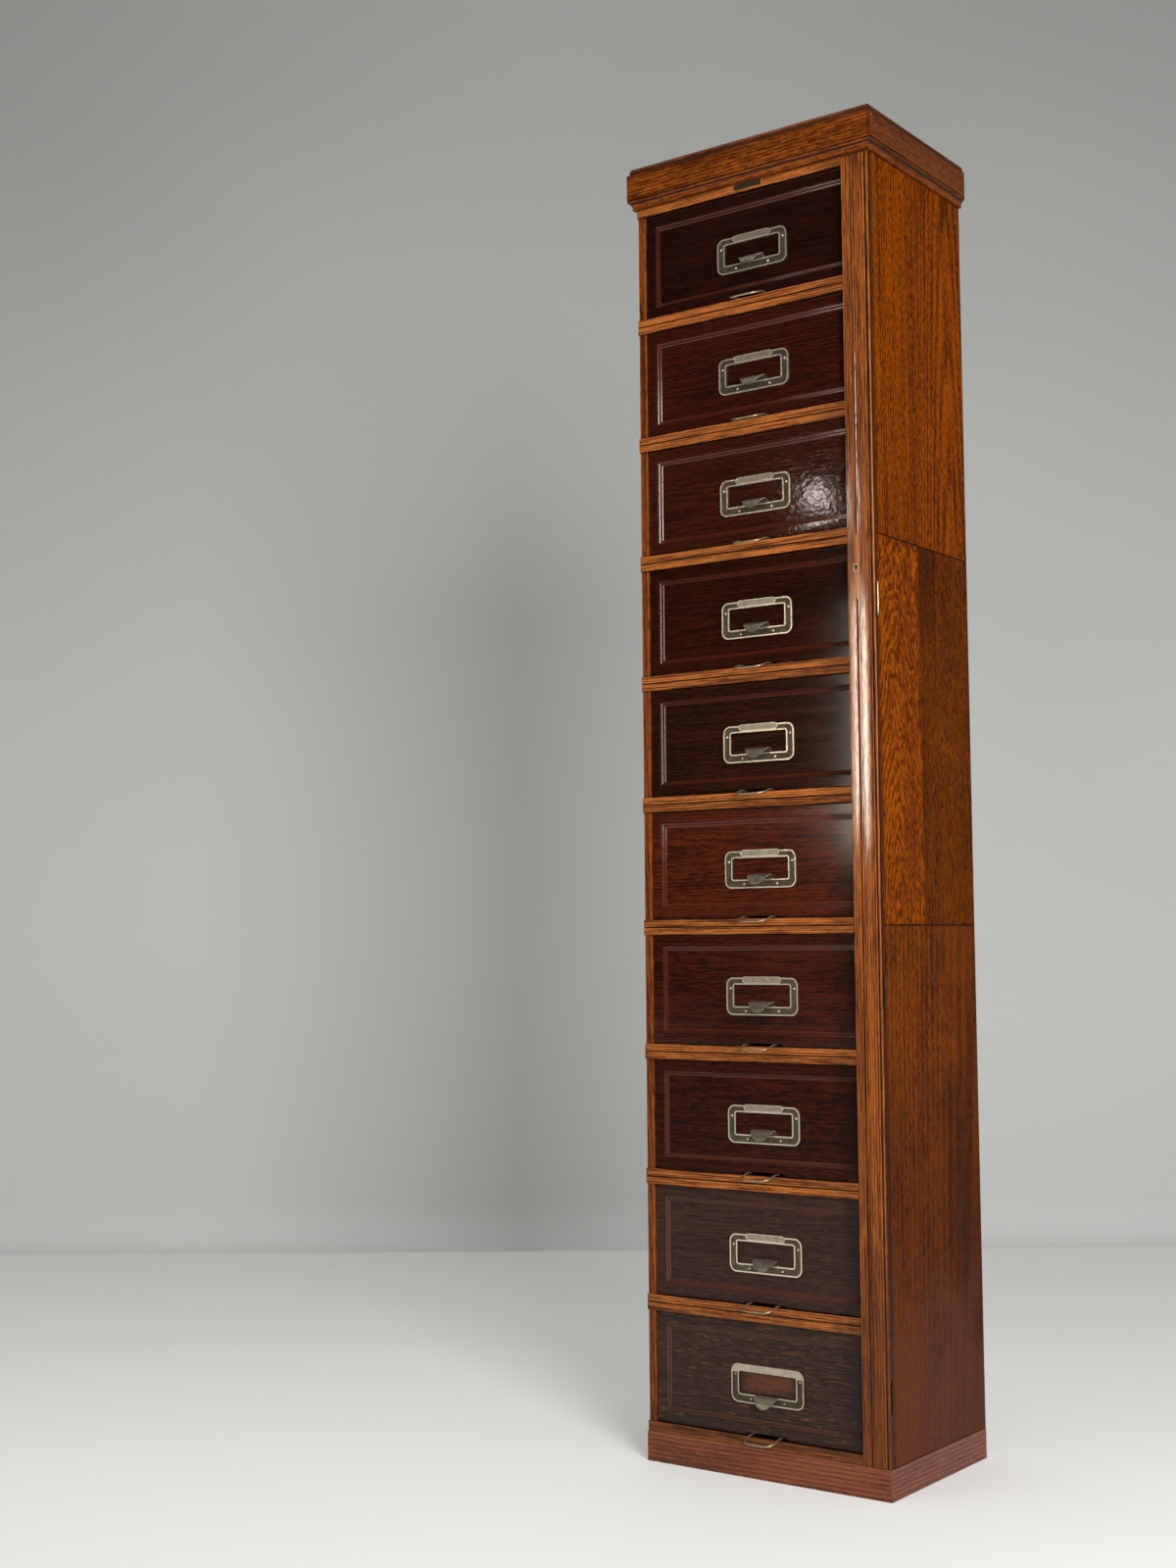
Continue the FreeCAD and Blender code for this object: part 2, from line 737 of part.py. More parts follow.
def finger_loop():
    """Bent wire: two legs in the scoop under the front, and a rounded bow that dips in front."""
    z = loop_height()
    x = loop_width / 2 - loop_wire_radius
    bend = front - loop_wire_radius
    tip = bend - loop_reach
    r = loop_corner_share * loop_reach
    c = r * (1 - math.sqrt(0.5))
    path = Part.Wire([
        Part.LineSegment(Vec(-x, bend, z), Vec(-x, tip + r, z)).toShape(),
        Part.Arc(Vec(-x, tip + r, z), Vec(-x + c, tip + c, z), Vec(-x + r, tip, z)).toShape(),
        Part.LineSegment(Vec(-x + r, tip, z), Vec(x - r, tip, z)).toShape(),
        Part.Arc(Vec(x - r, tip, z), Vec(x - c, tip + c, z), Vec(x, tip + r, z)).toShape(),
        Part.LineSegment(Vec(x, tip + r, z), Vec(x, bend, z)).toShape()])
    start = Part.Wire(Part.makeCircle(loop_wire_radius, Vec(-x, bend, z), Vec(0, -1, 0)))
    bow = path.makePipeShell([start], True, False)
    bow.rotate(Vec(0, bend, z), Vec(1, 0, 0), loop_tilt)
    wire = bow
    for side in (-1, 1):
        heel = Vec(side * x, bend, z)
        wire = wire.fuse(Part.makeSphere(loop_wire_radius, heel))
        wire = wire.fuse(rod(loop_wire_radius, heel, Vec(side * x, board_back + loop_tail, z)))
    return wire.removeSplitter()


os.makedirs("parts", exist_ok=True)

save("plinth", plinth())
save("carcass_boards", carcass_boards())
save("left_side_panels", stacked_boards(-half, -inner, front + side_setback, back))
for name, board in zip(("lower", "middle", "upper"), right_side()):
    save("right_side_" + name, [board])
save("back_panels", stacked_boards(-inner, inner, case_back, back))
save("front_rails", front_rails())
save("drawer_runners", drawer_runners())
save("cornice_moulding", cornice_moulding())
save("cornice_fascia", cornice_fascia())
save("top_board", [top_board()])
save("blank_plate", blank_plate())
save("hinge_leaves_fixed", [hinge_leaf(middle, True) for middle in hinge_heights()])
save("hinge_leaves_swinging", [hinge_leaf(middle, False) for middle in hinge_heights()])
save("hinge_pins", [hinge_pin(middle) for middle in hinge_heights()])
save("locking_stile", locking_stile())
save("keyhole_escutcheon", [keyhole_escutcheon()])
save("lock_case", [lock_case()])
save("lock_bolt", [lock_bolt()])

front_solids = drawer_front()
box_solids = drawer_box()
loop_solids = [finger_loop()]
cartouche_frame = label_frame(False)
flat_frame = label_frame(True)
for number in range(1, drawer_count + 1):
    bottom = opening_bottom(drawer_count - number)
    frame_solids = flat_frame if number == drawer_count else cartouche_frame
    pieces = (("front", front_solids), ("box", box_solids),
              ("label_frame", frame_solids), ("finger_loop", loop_solids))
    for piece, solids in pieces:
        save("drawer_%02d_%s" % (number, piece), [moved(solid, 0, 0, bottom) for solid in solids])
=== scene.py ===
import json
import math
import random

import bmesh
import bpy
from mathutils import Matrix, Vector

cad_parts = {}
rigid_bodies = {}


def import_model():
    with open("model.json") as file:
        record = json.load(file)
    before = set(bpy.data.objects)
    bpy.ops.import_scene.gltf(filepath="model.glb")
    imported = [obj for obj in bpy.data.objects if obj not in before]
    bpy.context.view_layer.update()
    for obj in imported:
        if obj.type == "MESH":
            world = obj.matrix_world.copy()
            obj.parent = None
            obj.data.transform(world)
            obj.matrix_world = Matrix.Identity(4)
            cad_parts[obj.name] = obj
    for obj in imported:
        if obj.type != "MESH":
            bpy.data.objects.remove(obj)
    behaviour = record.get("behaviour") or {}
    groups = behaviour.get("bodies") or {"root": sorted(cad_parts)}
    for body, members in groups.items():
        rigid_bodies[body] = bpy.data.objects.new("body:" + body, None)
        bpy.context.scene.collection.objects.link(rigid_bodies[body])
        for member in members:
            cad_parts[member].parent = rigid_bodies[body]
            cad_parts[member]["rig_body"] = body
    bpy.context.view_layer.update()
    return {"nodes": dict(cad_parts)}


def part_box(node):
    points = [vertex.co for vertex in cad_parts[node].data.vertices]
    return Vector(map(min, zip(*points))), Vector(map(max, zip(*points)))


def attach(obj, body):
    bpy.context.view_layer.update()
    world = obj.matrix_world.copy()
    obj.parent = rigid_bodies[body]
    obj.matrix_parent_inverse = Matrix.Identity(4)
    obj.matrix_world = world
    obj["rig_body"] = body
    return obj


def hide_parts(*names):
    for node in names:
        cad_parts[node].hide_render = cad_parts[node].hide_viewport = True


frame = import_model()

nodes = frame["nodes"]


# Plinth. Four plain oak boards on edge, the front one mitred to the sides, stained red-brown and
# waxed. They carry the whole chest, and the lower edge is scuffed by feet and brooms.

def add(tree, kind, plugs=None, **settings):
    """One shader node; each plug takes a link or a plain value."""
    node = tree.nodes.new("ShaderNode" + kind)
    for key, value in settings.items():
        setattr(node, key, value)
    for key, value in (plugs or {}).items():
        if isinstance(value, bpy.types.NodeSocket):
            tree.links.new(value, node.inputs[key])
        else:
            node.inputs[key].default_value = value
    return node


def calc(tree, operation, *terms):
    return add(tree, "Math", dict(enumerate(terms)), operation=operation).outputs[0]


def vector(tree, operation, first, second):
    return add(tree, "VectorMath", {0: first, 1: second}, operation=operation).outputs[0]


def ease(tree, value, low, high):
    """0 at low, 1 at high, smooth between."""
    plugs = {"Value": value, "From Min": low, "From Max": high}
    return add(tree, "MapRange", plugs, interpolation_type="SMOOTHSTEP").outputs["Result"]


def mixed(tree, factor, first, second):
    return add(tree, "Mix", {0: factor, 6: first, 7: second}, data_type="RGBA").outputs[2]


def noise(tree, place, scale, detail, rough=0.5, twist=0.0):
    plugs = {"Vector": place, "Scale": scale, "Detail": detail, "Roughness": rough, "Distortion": twist}
    return add(tree, "TexNoise", plugs).outputs[0]


def streaks(tree, place, across, along, detail=2.0, rough=0.55, twist=0.0):
    """Noise drawn out along the board: marks per metre across and along the fibres."""
    return noise(tree, vector(tree, "MULTIPLY", place, (across, across, along)), 1.0, detail, rough, twist)


def group(name, entries, results):
    """An empty node group with named inputs and outputs."""
    tree = bpy.data.node_groups.new(name, "ShaderNodeTree")
    for label, kind, value in entries:
        plug = tree.interface.new_socket(label, in_out="INPUT", socket_type="NodeSocket" + kind)
        plug.default_value = value
    for label, kind in results:
        tree.interface.new_socket(label, in_out="OUTPUT", socket_type="NodeSocket" + kind)
    return tree, tree.nodes.new("NodeGroupInput").outputs, tree.nodes.new("NodeGroupOutput").inputs


def timber_group():
    """Oak cut from a log: growth rings round a heart line, pores, rays and stain.

    Place is across the board, through it, and along its fibres, in metres. Heart, Depth and Slope say
    where the heart of the log runs, and Marks how many dashes go to a metre in the same three ways."""
    tree, given, out = group("timber", [
        ("Place", "Vector", (0, 0, 0)), ("Light", "Color", (0.2, 0.05, 0.01, 1)),
        ("Dark", "Color", (0.06, 0.01, 0, 1)), ("Pore", "Color", (0.02, 0.005, 0, 1)),
        ("Fleck", "Color", (0.3, 0.1, 0.02, 1)), ("Heart", "Float", 0.0), ("Depth", "Float", 0.05),
        ("Slope", "Float", 0.03), ("Spacing", "Float", 0.004), ("Wobble", "Float", 0.01),
        ("Curl", "Float", 0.001), ("Rings", "Float", 0.6), ("Streaks", "Float", 0.6), ("Pores", "Float", 0.6),
        ("Flecks", "Float", 0.0), ("Blotches", "Float", 0.3), ("Dashes", "Float", 0.5),
        ("Marks", "Vector", (400, 400, 30)), ("Lumps", "Float", 0.0), ("Rough", "Float", 0.35)],
        [("Color", "Color"), ("Roughness", "Float"), ("Height", "Float")])
    place = given["Place"]
    axes = add(tree, "SeparateXYZ", {0: place}).outputs
    wander = calc(tree, "SUBTRACT", streaks(tree, place, 9, 1.6), 0.5)
    curl = calc(tree, "SUBTRACT", streaks(tree, place, 45, 12, 3), 0.5)
    sway = calc(tree, "MULTIPLY", wander, given["Wobble"])
    sway = calc(tree, "ADD", sway, calc(tree, "MULTIPLY", curl, given["Curl"]))
    across = calc(tree, "ADD", calc(tree, "SUBTRACT", axes[0], given["Heart"]), sway)
    through = calc(tree, "ADD", calc(tree, "MULTIPLY_ADD", axes[2], given["Slope"], axes[1]), given["Depth"])
    through = calc(tree, "ADD", through, sway)
    squared = calc(tree, "MULTIPLY_ADD", across, across, calc(tree, "MULTIPLY", through, through))
    saw = calc(tree, "FRACT", calc(tree, "DIVIDE", calc(tree, "SQRT", squared), given["Spacing"]))
    early = calc(tree, "MULTIPLY", ease(tree, saw, 0.85, 0.15), ease(tree, saw, 0.0, 0.15))

    fine = calc(tree, "SUBTRACT", streaks(tree, place, 560, 6, 2), 0.5)
    broad = calc(tree, "SUBTRACT", streaks(tree, place, 120, 1.6, 3), 0.5)
    patch = calc(tree, "SUBTRACT", streaks(tree, place, 13, 4, 2), 0.5)
    shade = calc(tree, "MULTIPLY_ADD", calc(tree, "SUBTRACT", 0.4, early), given["Rings"], 0.5)
    drawn = calc(tree, "MULTIPLY_ADD", fine, 1.0, calc(tree, "MULTIPLY", broad, 1.7))
    shade = calc(tree, "MULTIPLY_ADD", drawn, given["Streaks"], shade)
    dash = noise(tree, vector(tree, "MULTIPLY", place, given["Marks"]), 1.0, 5.0, 0.72)
    dash = calc(tree, "MULTIPLY", calc(tree, "SUBTRACT", dash, 0.5), 4.0)
    shade = calc(tree, "MULTIPLY_ADD", dash, given["Dashes"], shade)
    shade = calc(tree, "MULTIPLY_ADD", calc(tree, "MULTIPLY", patch, 2.4), given["Blotches"], shade)
    colour = mixed(tree, ease(tree, shade, 0.0, 1.0), given["Dark"], given["Light"])

    ray = ease(tree, streaks(tree, place, 330, 44, 2, 0.5, 0.25), 0.58, 0.68)
    colour = mixed(tree, calc(tree, "MULTIPLY", ray, given["Flecks"]), colour, given["Fleck"])
    pore = ease(tree, streaks(tree, place, 1300, 75, 1), 0.52, 0.68)
    pore = calc(tree, "MULTIPLY", pore, calc(tree, "MULTIPLY_ADD", early, 0.75, 0.3))
    pore = calc(tree, "MULTIPLY", pore, given["Pores"])
    tree.links.new(mixed(tree, pore, colour, given["Pore"]), out["Color"])

    uneven = calc(tree, "MULTIPLY_ADD", broad, 0.6, calc(tree, "MULTIPLY_ADD", patch, 0.6, 1.0))
    uneven = calc(tree, "MULTIPLY_ADD", pore, 0.5, uneven)
    tree.links.new(calc(tree, "MULTIPLY", uneven, given["Rough"]), out["Roughness"])
    height = calc(tree, "MULTIPLY_ADD", early, -0.2, calc(tree, "MULTIPLY", fine, 0.4))
    height = calc(tree, "SUBTRACT", height, pore)
    lumps = noise(tree, place, 120.0, 2.0)
    tree.links.new(calc(tree, "MULTIPLY_ADD", lumps, given["Lumps"], height), out["Height"])
    return tree


def grime_and_shade_group():
    """Old dirt and darkened polish, and painted shade where it is laid for that, broken up so that it never
    ends in a clean line.
    """
    tree, given, out = group("grime_and_shade", [
        ("Color", "Color", (0.2, 0.05, 0.01, 1)), ("Dirt", "Color", (0.02, 0.012, 0.008, 1)),
        ("Place", "Vector", (0, 0, 0)), ("Where", "Float", 0.0), ("Amount", "Float", 0.7),
        ("Size", "Float", 60.0)], [("Color", "Color")])
    blots = calc(tree, "SUBTRACT", noise(tree, given["Place"], given["Size"], 4.0), 0.5)
    broken = calc(tree, "MULTIPLY_ADD", blots, 1.4, given["Where"])
    mask = calc(tree, "MULTIPLY", ease(tree, broken, 0.15, 0.95), given["Amount"])
    tree.links.new(mixed(tree, mask, given["Color"], given["Dirt"]), out["Color"])
    return tree


def arris_group():
    """1 along the twelve edges of a box from Low to High, where polish is rubbed thin."""
    tree, given, out = group("rubbed_arris", [
        ("Place", "Vector", (0, 0, 0)), ("Low", "Vector", (0, 0, 0)), ("High", "Vector", (1, 1, 1)),
        ("Width", "Float", 0.003)], [("Mask", "Float")])
    from_low = vector(tree, "SUBTRACT", given["Place"], given["Low"])
    from_high = vector(tree, "SUBTRACT", given["High"], given["Place"])
    near = vector(tree, "MINIMUM", from_low, from_high)
    x, y, z = add(tree, "SeparateXYZ", {0: near}).outputs
    nearer = calc(tree, "MINIMUM", x, y)
    edge = calc(tree, "MAXIMUM", nearer, calc(tree, "MINIMUM", calc(tree, "MAXIMUM", x, y), z))
    chips = noise(tree, given["Place"], 70.0, 4.0)
    reach = calc(tree, "MULTIPLY", given["Width"], calc(tree, "MULTIPLY_ADD", chips, 4.0, -1.2))
    blur = 0.0006
    tree.links.new(ease(tree, calc(tree, "SUBTRACT", edge, reach), blur, -blur), out["Mask"])
    return tree


def mitre_group():
    """Board coordinates for a surround mitred at the front corners.

    Fibres run along X in front and along Y at the sides, and each board has a figure of its own."""
    tree, given, out = group("mitred_boards", [
        ("Place", "Vector", (0, 0, 0)), ("Side", "Float", 0.195), ("Front", "Float", -0.1375)],
        [("Place", "Vector")])
    shift = 1.3
    hand_shift = 0.7
    x, y, z = add(tree, "SeparateXYZ", {0: given["Place"]}).outputs
    beyond_side = calc(tree, "SUBTRACT", calc(tree, "ABSOLUTE", x), given["Side"])
    beyond_front = calc(tree, "SUBTRACT", given["Front"], y)
    at_side = calc(tree, "GREATER_THAN", beyond_side, beyond_front)
    in_front = add(tree, "CombineXYZ", {0: z, 1: y, 2: x}).outputs[0]
    shifted = calc(tree, "ADD", z, calc(tree, "MULTIPLY_ADD", calc(tree, "SIGN", x), hand_shift, shift))
    along_side = add(tree, "CombineXYZ", {0: shifted, 1: x, 2: y}).outputs[0]
    plugs = {0: at_side, 4: in_front, 5: along_side}
    tree.links.new(add(tree, "Mix", plugs, data_type="VECTOR").outputs[1], out["Place"])
    return tree


timber = timber_group()
grime_and_shade = grime_and_shade_group()
arris = arris_group()
mitre = mitre_group()


def surface(name):
    """A fresh material, its node tree and its main shader."""
    material = bpy.data.materials.new(name)
    material.use_nodes = True
    return material, material.node_tree, material.node_tree.nodes["Principled BSDF"]


class Oak:
    """A polished oak material that later layers of dirt, wear and painted shade are laid on.

    Board names the axes across the board, through it and along its fibres; corner, for a mitred
    surround, is the side and the front it runs round. Joints, as (axis, place, shift), are where another
    board with another figure begins."""

    def __init__(self, name, board, gloss, figure, corner=None, joints=(), relief=0.00012):
        self.material, self.tree, self.shader = surface(name)
        self.shader.inputs["Specular IOR Level"].default_value = gloss
        self.place = add(self.tree, "TexCoord").outputs["Object"]
        self.axes = dict(zip("xyz", add(self.tree, "SeparateXYZ", {0: self.place}).outputs))
        if corner:
            plugs = {"Place": self.place, "Side": corner[0], "Front": corner[1]}
            grain = self.layer(mitre, plugs)["Place"]
        else:
            parts = {i: self.axes[axis] for i, axis in enumerate(board)}
            for axis, edge, shift in joints:
                beyond = calc(self.tree, "GREATER_THAN", self.axes[axis], edge)
                parts[0] = calc(self.tree, "MULTIPLY_ADD", beyond, shift, parts[0])
            grain = add(self.tree, "CombineXYZ", parts).outputs[0]
        wood = self.layer(timber, {"Place": grain, **figure})
        self.paint(wood["Color"])
        self.rough = wood["Roughness"]
        bump = add(self.tree, "Bump", {"Strength": 1.0, "Distance": relief, "Height": wood["Height"]})
        self.tree.links.new(bump.outputs[0], self.shader.inputs["Normal"])
        self.tree.links.new(self.rough, self.shader.inputs["Roughness"])

    def layer(self, tree, plugs):
        return add(self.tree, "Group", plugs, node_tree=tree).outputs

    def paint(self, colour):
        self.colour = colour
        self.tree.links.new(colour, self.shader.inputs["Base Color"])

    def band(self, axis, low, high):
        """0 at low, 1 at high and beyond it."""
        return ease(self.tree, self.axes[axis], low, high)

    def overlap(self, *masks):
        result = masks[0]
        for mask in masks[1:]:
            result = calc(self.tree, "MULTIPLY", result, mask)
        return result

    def within(self, axis, low, high, soft):
        """1 from low to high, fading out over a soft width on either side."""
        return self.overlap(self.band(axis, low - soft, low), self.band(axis, high + soft, high))

    def tint(self, where, colour):
        self.paint(mixed(self.tree, where, self.colour, colour))

    # Darkens where the mask is: real dirt in some places, painted shade in others.
    def soil_and_shade(self, where, dirt, amount, size=60.0):
        plugs = {"Color": self.colour, "Dirt": dirt, "Place": self.place, "Where": where,
                 "Amount": amount, "Size": size}
        self.paint(self.layer(grime_and_shade, plugs)["Color"])

    def rub(self, low, high, colour, width, amount):
        mask = self.layer(arris, {"Place": self.place, "Low": low, "High": high, "Width": width})["Mask"]
        self.tint(calc(self.tree, "MULTIPLY", mask, amount), colour)

    def polish(self, where, rough):
        self.tree.links.new(where, self.shader.inputs["Coat Weight"])
        self.shader.inputs["Coat Roughness"].default_value = rough


def boards_in(node):
    """The separate boards of a CAD piece, as lists of faces; a board ends where its skin closes."""
    data = nodes[node].data
    steps_per_metre = 2e5
    spots = {}
    ids = []
    for v in data.vertices:
        spot = tuple(round(c * steps_per_metre) for c in v.co)
        ids.append(spots.setdefault(spot, v.index))
    boards, faces, loose = [], [], {}
    for polygon in data.polygons:
        corners = [ids[v] for v in polygon.vertices]
        faces.append(corners)
        for a, b in zip(corners, corners[1:] + corners[:1]):
            if loose.get((b, a)):
                loose[b, a] -= 1
                if not loose[b, a]:
                    del loose[b, a]
            elif a != b:
                loose[a, b] = loose.get((a, b), 0) + 1
        if not loose:
            boards.append(faces)
            faces = []
    return boards


def placed(name, mesh, material):
    """A finished mesh as an object of the scene."""
    data = bpy.data.meshes.new(name)
    mesh.to_mesh(data)
    mesh.free()
    data.materials.append(material)
    piece = bpy.data.objects.new(name, data)
    bpy.context.scene.collection.objects.link(piece)
    return piece


def eased(node, material, width, shortest=0.004, steps=2, hold=True):
    """A CAD piece with its outer arrises rubbed round, as sandpaper and handling do.

    Width is how much is rubbed off, shortest the least length of an arris that is rubbed; hold keeps
    the rounds of a thin piece from running into one another."""
    flat, sharp, crease = math.radians(0.5), math.radians(32), math.radians(38)
    source = nodes[node].data.vertices
    whole = bmesh.new()
    for faces in boards_in(node):
        board = bmesh.new()
        points = {}
        for corners in faces:
            for v in corners:
                if v not in points:
                    points[v] = board.verts.new(source[v].co)
            if len(set(corners)) == 3:
                board.faces.new([points[v] for v in corners])
        bmesh.ops.dissolve_limit(board, angle_limit=flat, verts=board.verts, edges=board.edges)
        arrises = [e for e in board.edges if len(e.link_faces) == 2 and e.is_convex
                   and e.calc_face_angle() > sharp and e.calc_length() > shortest]
        bmesh.ops.bevel(board, geom=arrises, offset=width, offset_type="OFFSET", segments=steps, profile=0.5,
                        affect="EDGES", clamp_overlap=hold)
        for edge in board.edges:
            edge.smooth = len(edge.link_faces) != 2 or edge.calc_face_angle() < crease
        data = bpy.data.meshes.new("board")
        board.to_mesh(data)
        board.free()
        whole.from_mesh(data)
        bpy.data.meshes.remove(data)
    for face in whole.faces:
        face.smooth = True
    piece = placed(node + "_eased", whole, material)
    shade = piece.modifiers.new("shade", "WEIGHTED_NORMAL")
    shade.weight = 50
    shade.keep_sharp = True
    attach(piece, nodes[node]["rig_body"])
    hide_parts(node)


def tone(red, green, blue):
    """A colour as the eye reads it, 0 to 255, in scene light."""
    shares = [value / 255 for value in (red, green, blue)]
    return tuple(s / 12.92 if s < 0.0404 else ((s + 0.055) / 1.055) ** 2.4 for s in shares) + (1.0,)


plinth_low, plinth_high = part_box("plinth")
plinth_thickness = 0.018
plinth_oak = Oak("plinth_oak", "", 0.3, {
    "Light": tone(150, 82, 52), "Dark": tone(84, 37, 20), "Pore": tone(48, 22, 14),
    "Fleck": tone(130, 76, 50), "Heart": -0.3, "Depth": 0.05, "Slope": 0.05, "Spacing": 0.006,
    "Wobble": 0.006, "Rings": 0.35, "Streaks": 0.3, "Pores": 0.4, "Blotches": 0.3, "Dashes": 0.45,
    "Marks": (560, 560, 40), "Rough": 0.42},
    corner=(plinth_high.x - plinth_thickness, plinth_low.y + plinth_thickness))
scuffed_foot = plinth_oak.band("z", 0.008, 0.0)
plinth_oak.soil_and_shade(scuffed_foot, tone(50, 26, 18), 0.6, 90)
plinth_oak.rub(plinth_low, plinth_high, tone(140, 84, 58), 0.0022, 0.5)
eased("plinth", plinth_oak.material, 0.0008)


# Carcass. Base and top boards, the drawer runners, the left side and the three back boards are plain
# oak, glued and nailed. The outside of the left side is polished, and the inside is left dry and dusty.

inside_oak = Oak("inside_oak", "zxy", 0.15, {
    "Light": tone(150, 98, 58), "Dark": tone(96, 56, 30), "Pore": tone(60, 34, 20),
    "Fleck": tone(170, 120, 76), "Heart": 0.1, "Depth": 0.05, "Slope": 0.02, "Spacing": 0.005,
    "Wobble": 0.008, "Rings": 0.4, "Streaks": 0.5, "Pores": 0.6, "Flecks": 0.2, "Blotches": 0.4,
    "Rough": 0.7})
for name in ("carcass_boards", "drawer_runners"):
    eased(name, inside_oak.material, 0.0006)

lower_seam, upper_seam = [corner.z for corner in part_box("right_side_middle")]
left_low, left_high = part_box("left_side_panels")
left_oak = Oak("left_side_oak", "yxz", 0.2, {
    "Light": tone(138, 66, 16), "Dark": tone(78, 32, 8), "Pore": tone(44, 18, 8), "Fleck": tone(150, 80, 24),
    "Heart": 0.02, "Depth": 0.04, "Slope": 0.06, "Spacing": 0.005, "Wobble": 0.012, "Rings": 0.5,
    "Streaks": 0.6, "Pores": 0.7, "Flecks": 0.15, "Blotches": 0.35, "Dashes": 0.6,
    "Marks": (220, 220, 70), "Rough": 0.36},
    joints=[("z", lower_seam, 0.07), ("z", upper_seam, -0.16)])
left_oak.rub(left_low, left_high, tone(160, 92, 36), 0.002, 0.5)
swept_foot = left_oak.band("z", 0.12, 0.04)
left_oak.soil_and_shade(swept_foot, tone(60, 30, 20), 0.5)
eased("left_side_panels", left_oak.material, 0.0007)

back_oak = Oak("back_oak", "xyz", 0.12, {
    "Light": tone(120, 70, 34), "Dark": tone(72, 38, 18), "Pore": tone(44, 24, 14),
    "Fleck": tone(134, 86, 46), "Heart": -0.06, "Depth": 0.05, "Slope": 0.08, "Spacing": 0.006,
    "Wobble": 0.014, "Rings": 0.5, "Streaks": 0.55, "Pores": 0.7, "Flecks": 0.1, "Blotches": 0.5,
    "Dashes": 0.5, "Marks": (220, 220, 60), "Rough": 0.62},
    joints=[("z", lower_seam, 0.16), ("z", upper_seam, -0.23)])
dusty_foot = back_oak.band("z", 0.3, 0.02)
back_oak.soil_and_shade(dusty_foot, tone(50, 34, 24), 0.5, 20)
eased("back_panels", back_oak.material, 0.0005)


# Right side. Three oak boards stacked one on another, joined in line with the rails: straight-grained
# at the top, flame-figured in the front half of the middle one, and redder and plainer at the foot.

glue_line = -0.008
upper_oak = Oak("right_upper_oak", "yxz", 0.02, {
    "Light": tone(148, 70, 3), "Dark": tone(62, 20, 0), "Pore": tone(46, 16, 2), "Fleck": tone(150, 76, 8),
    "Heart": 0.098, "Depth": -0.165, "Slope": 0.035, "Spacing": 0.0065, "Wobble": 0.007, "Curl": 0.004,
    "Rings": 0.35, "Streaks": 0.6, "Pores": 0.6, "Flecks": 0.12, "Blotches": 0.3, "Dashes": 0.8,
    "Marks": (360, 360, 110), "Rough": 0.4})
middle_oak = Oak("right_middle_oak", "yxz", 0.02, {
    "Light": tone(162, 80, 4), "Dark": tone(80, 27, 0), "Pore": tone(52, 19, 2), "Fleck": tone(176, 94, 10),
    "Heart": -0.078, "Depth": -0.36, "Slope": 0.24, "Spacing": 0.0058, "Wobble": 0.05, "Curl": 0.028,
    "Rings": 0.45, "Streaks": 0.4, "Pores": 0.6, "Flecks": 0.2, "Blotches": 0.35, "Dashes": 0.8,
    "Marks": (340, 340, 120), "Rough": 0.38}, joints=[("y", glue_line, 0.35)])
lower_oak = Oak("right_lower_oak", "yxz", 0.03, {
    "Light": tone(136, 66, 6), "Dark": tone(58, 20, 0), "Pore": tone(40, 14, 2), "Fleck": tone(132, 66, 12),
    "Heart": 0.16, "Depth": 0.04, "Slope": 0.02, "Spacing": 0.0085, "Wobble": 0.012, "Curl": 0.003,
    "Rings": 0.2, "Streaks": 0.4, "Pores": 0.5, "Flecks": 0.05, "Blotches": 0.4, "Dashes": 0.6,
    "Marks": (340, 340, 90), "Rough": 0.4})
back_half = middle_oak.band("y", glue_line - 0.001, glue_line + 0.001)
middle_oak.soil_and_shade(back_half, tone(16, 5, 0), 0.55, 14)
dark_stripe = middle_oak.overlap(
    middle_oak.band("y", glue_line - 0.001, glue_line + 0.0005), middle_oak.band("y", 0.055, 0.03),
    middle_oak.band("z", 1.12, 1.22))
middle_oak.soil_and_shade(dark_stripe, tone(16, 6, 1), 0.4, 20)
dark_back = lower_oak.band("y", 0.0, 0.1)
lower_oak.soil_and_shade(dark_back, tone(20, 7, 1), 0.3, 12)
red_foot = lower_oak.band("z", 0.75, 0.35)
lower_oak.soil_and_shade(red_foot, tone(38, 12, 5), 0.4, 10)
# Paler, pinkish-grey towards the foot: partly dust, partly a painted reflection of the floor.
dusty_foot = lower_oak.band("z", 0.45, 0.05)
lower_oak.soil_and_shade(dusty_foot, tone(98, 56, 40), 0.5, 10)
seam_from, seam_to = 0.0022, 0.0008
front_strip_from, front_strip_to = -0.118, -0.131
for name, oak in (("upper", upper_oak), ("middle", middle_oak), ("lower", lower_oak)):
    low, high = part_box("right_side_" + name)
    oak.rub(low, high, tone(120, 62, 22), 0.0014, 0.2)
    oak.soil_and_shade(oak.band("z", low.z + seam_from, low.z + seam_to), tone(26, 10, 3), 0.8, 60)
    oak.soil_and_shade(oak.band("z", high.z - seam_from, high.z - seam_to), tone(26, 10, 3), 0.8, 60)
    # Darker along the front edge, beside the hinges.
    oak.soil_and_shade(oak.band("y", front_strip_from, front_strip_to), tone(44, 18, 6), 0.6, 45)
    eased("right_side_" + name, oak.material, 0.0007)


# Front rails. Eleven oak rails, the nine between the drawers with a scribed line along the middle, lapped
# over the left side and cut back on the right for the stile. The line is darkened with old polish and painted
# shade, and the rails darken towards the stile, browned by hands and with a painted shadow of the stile.

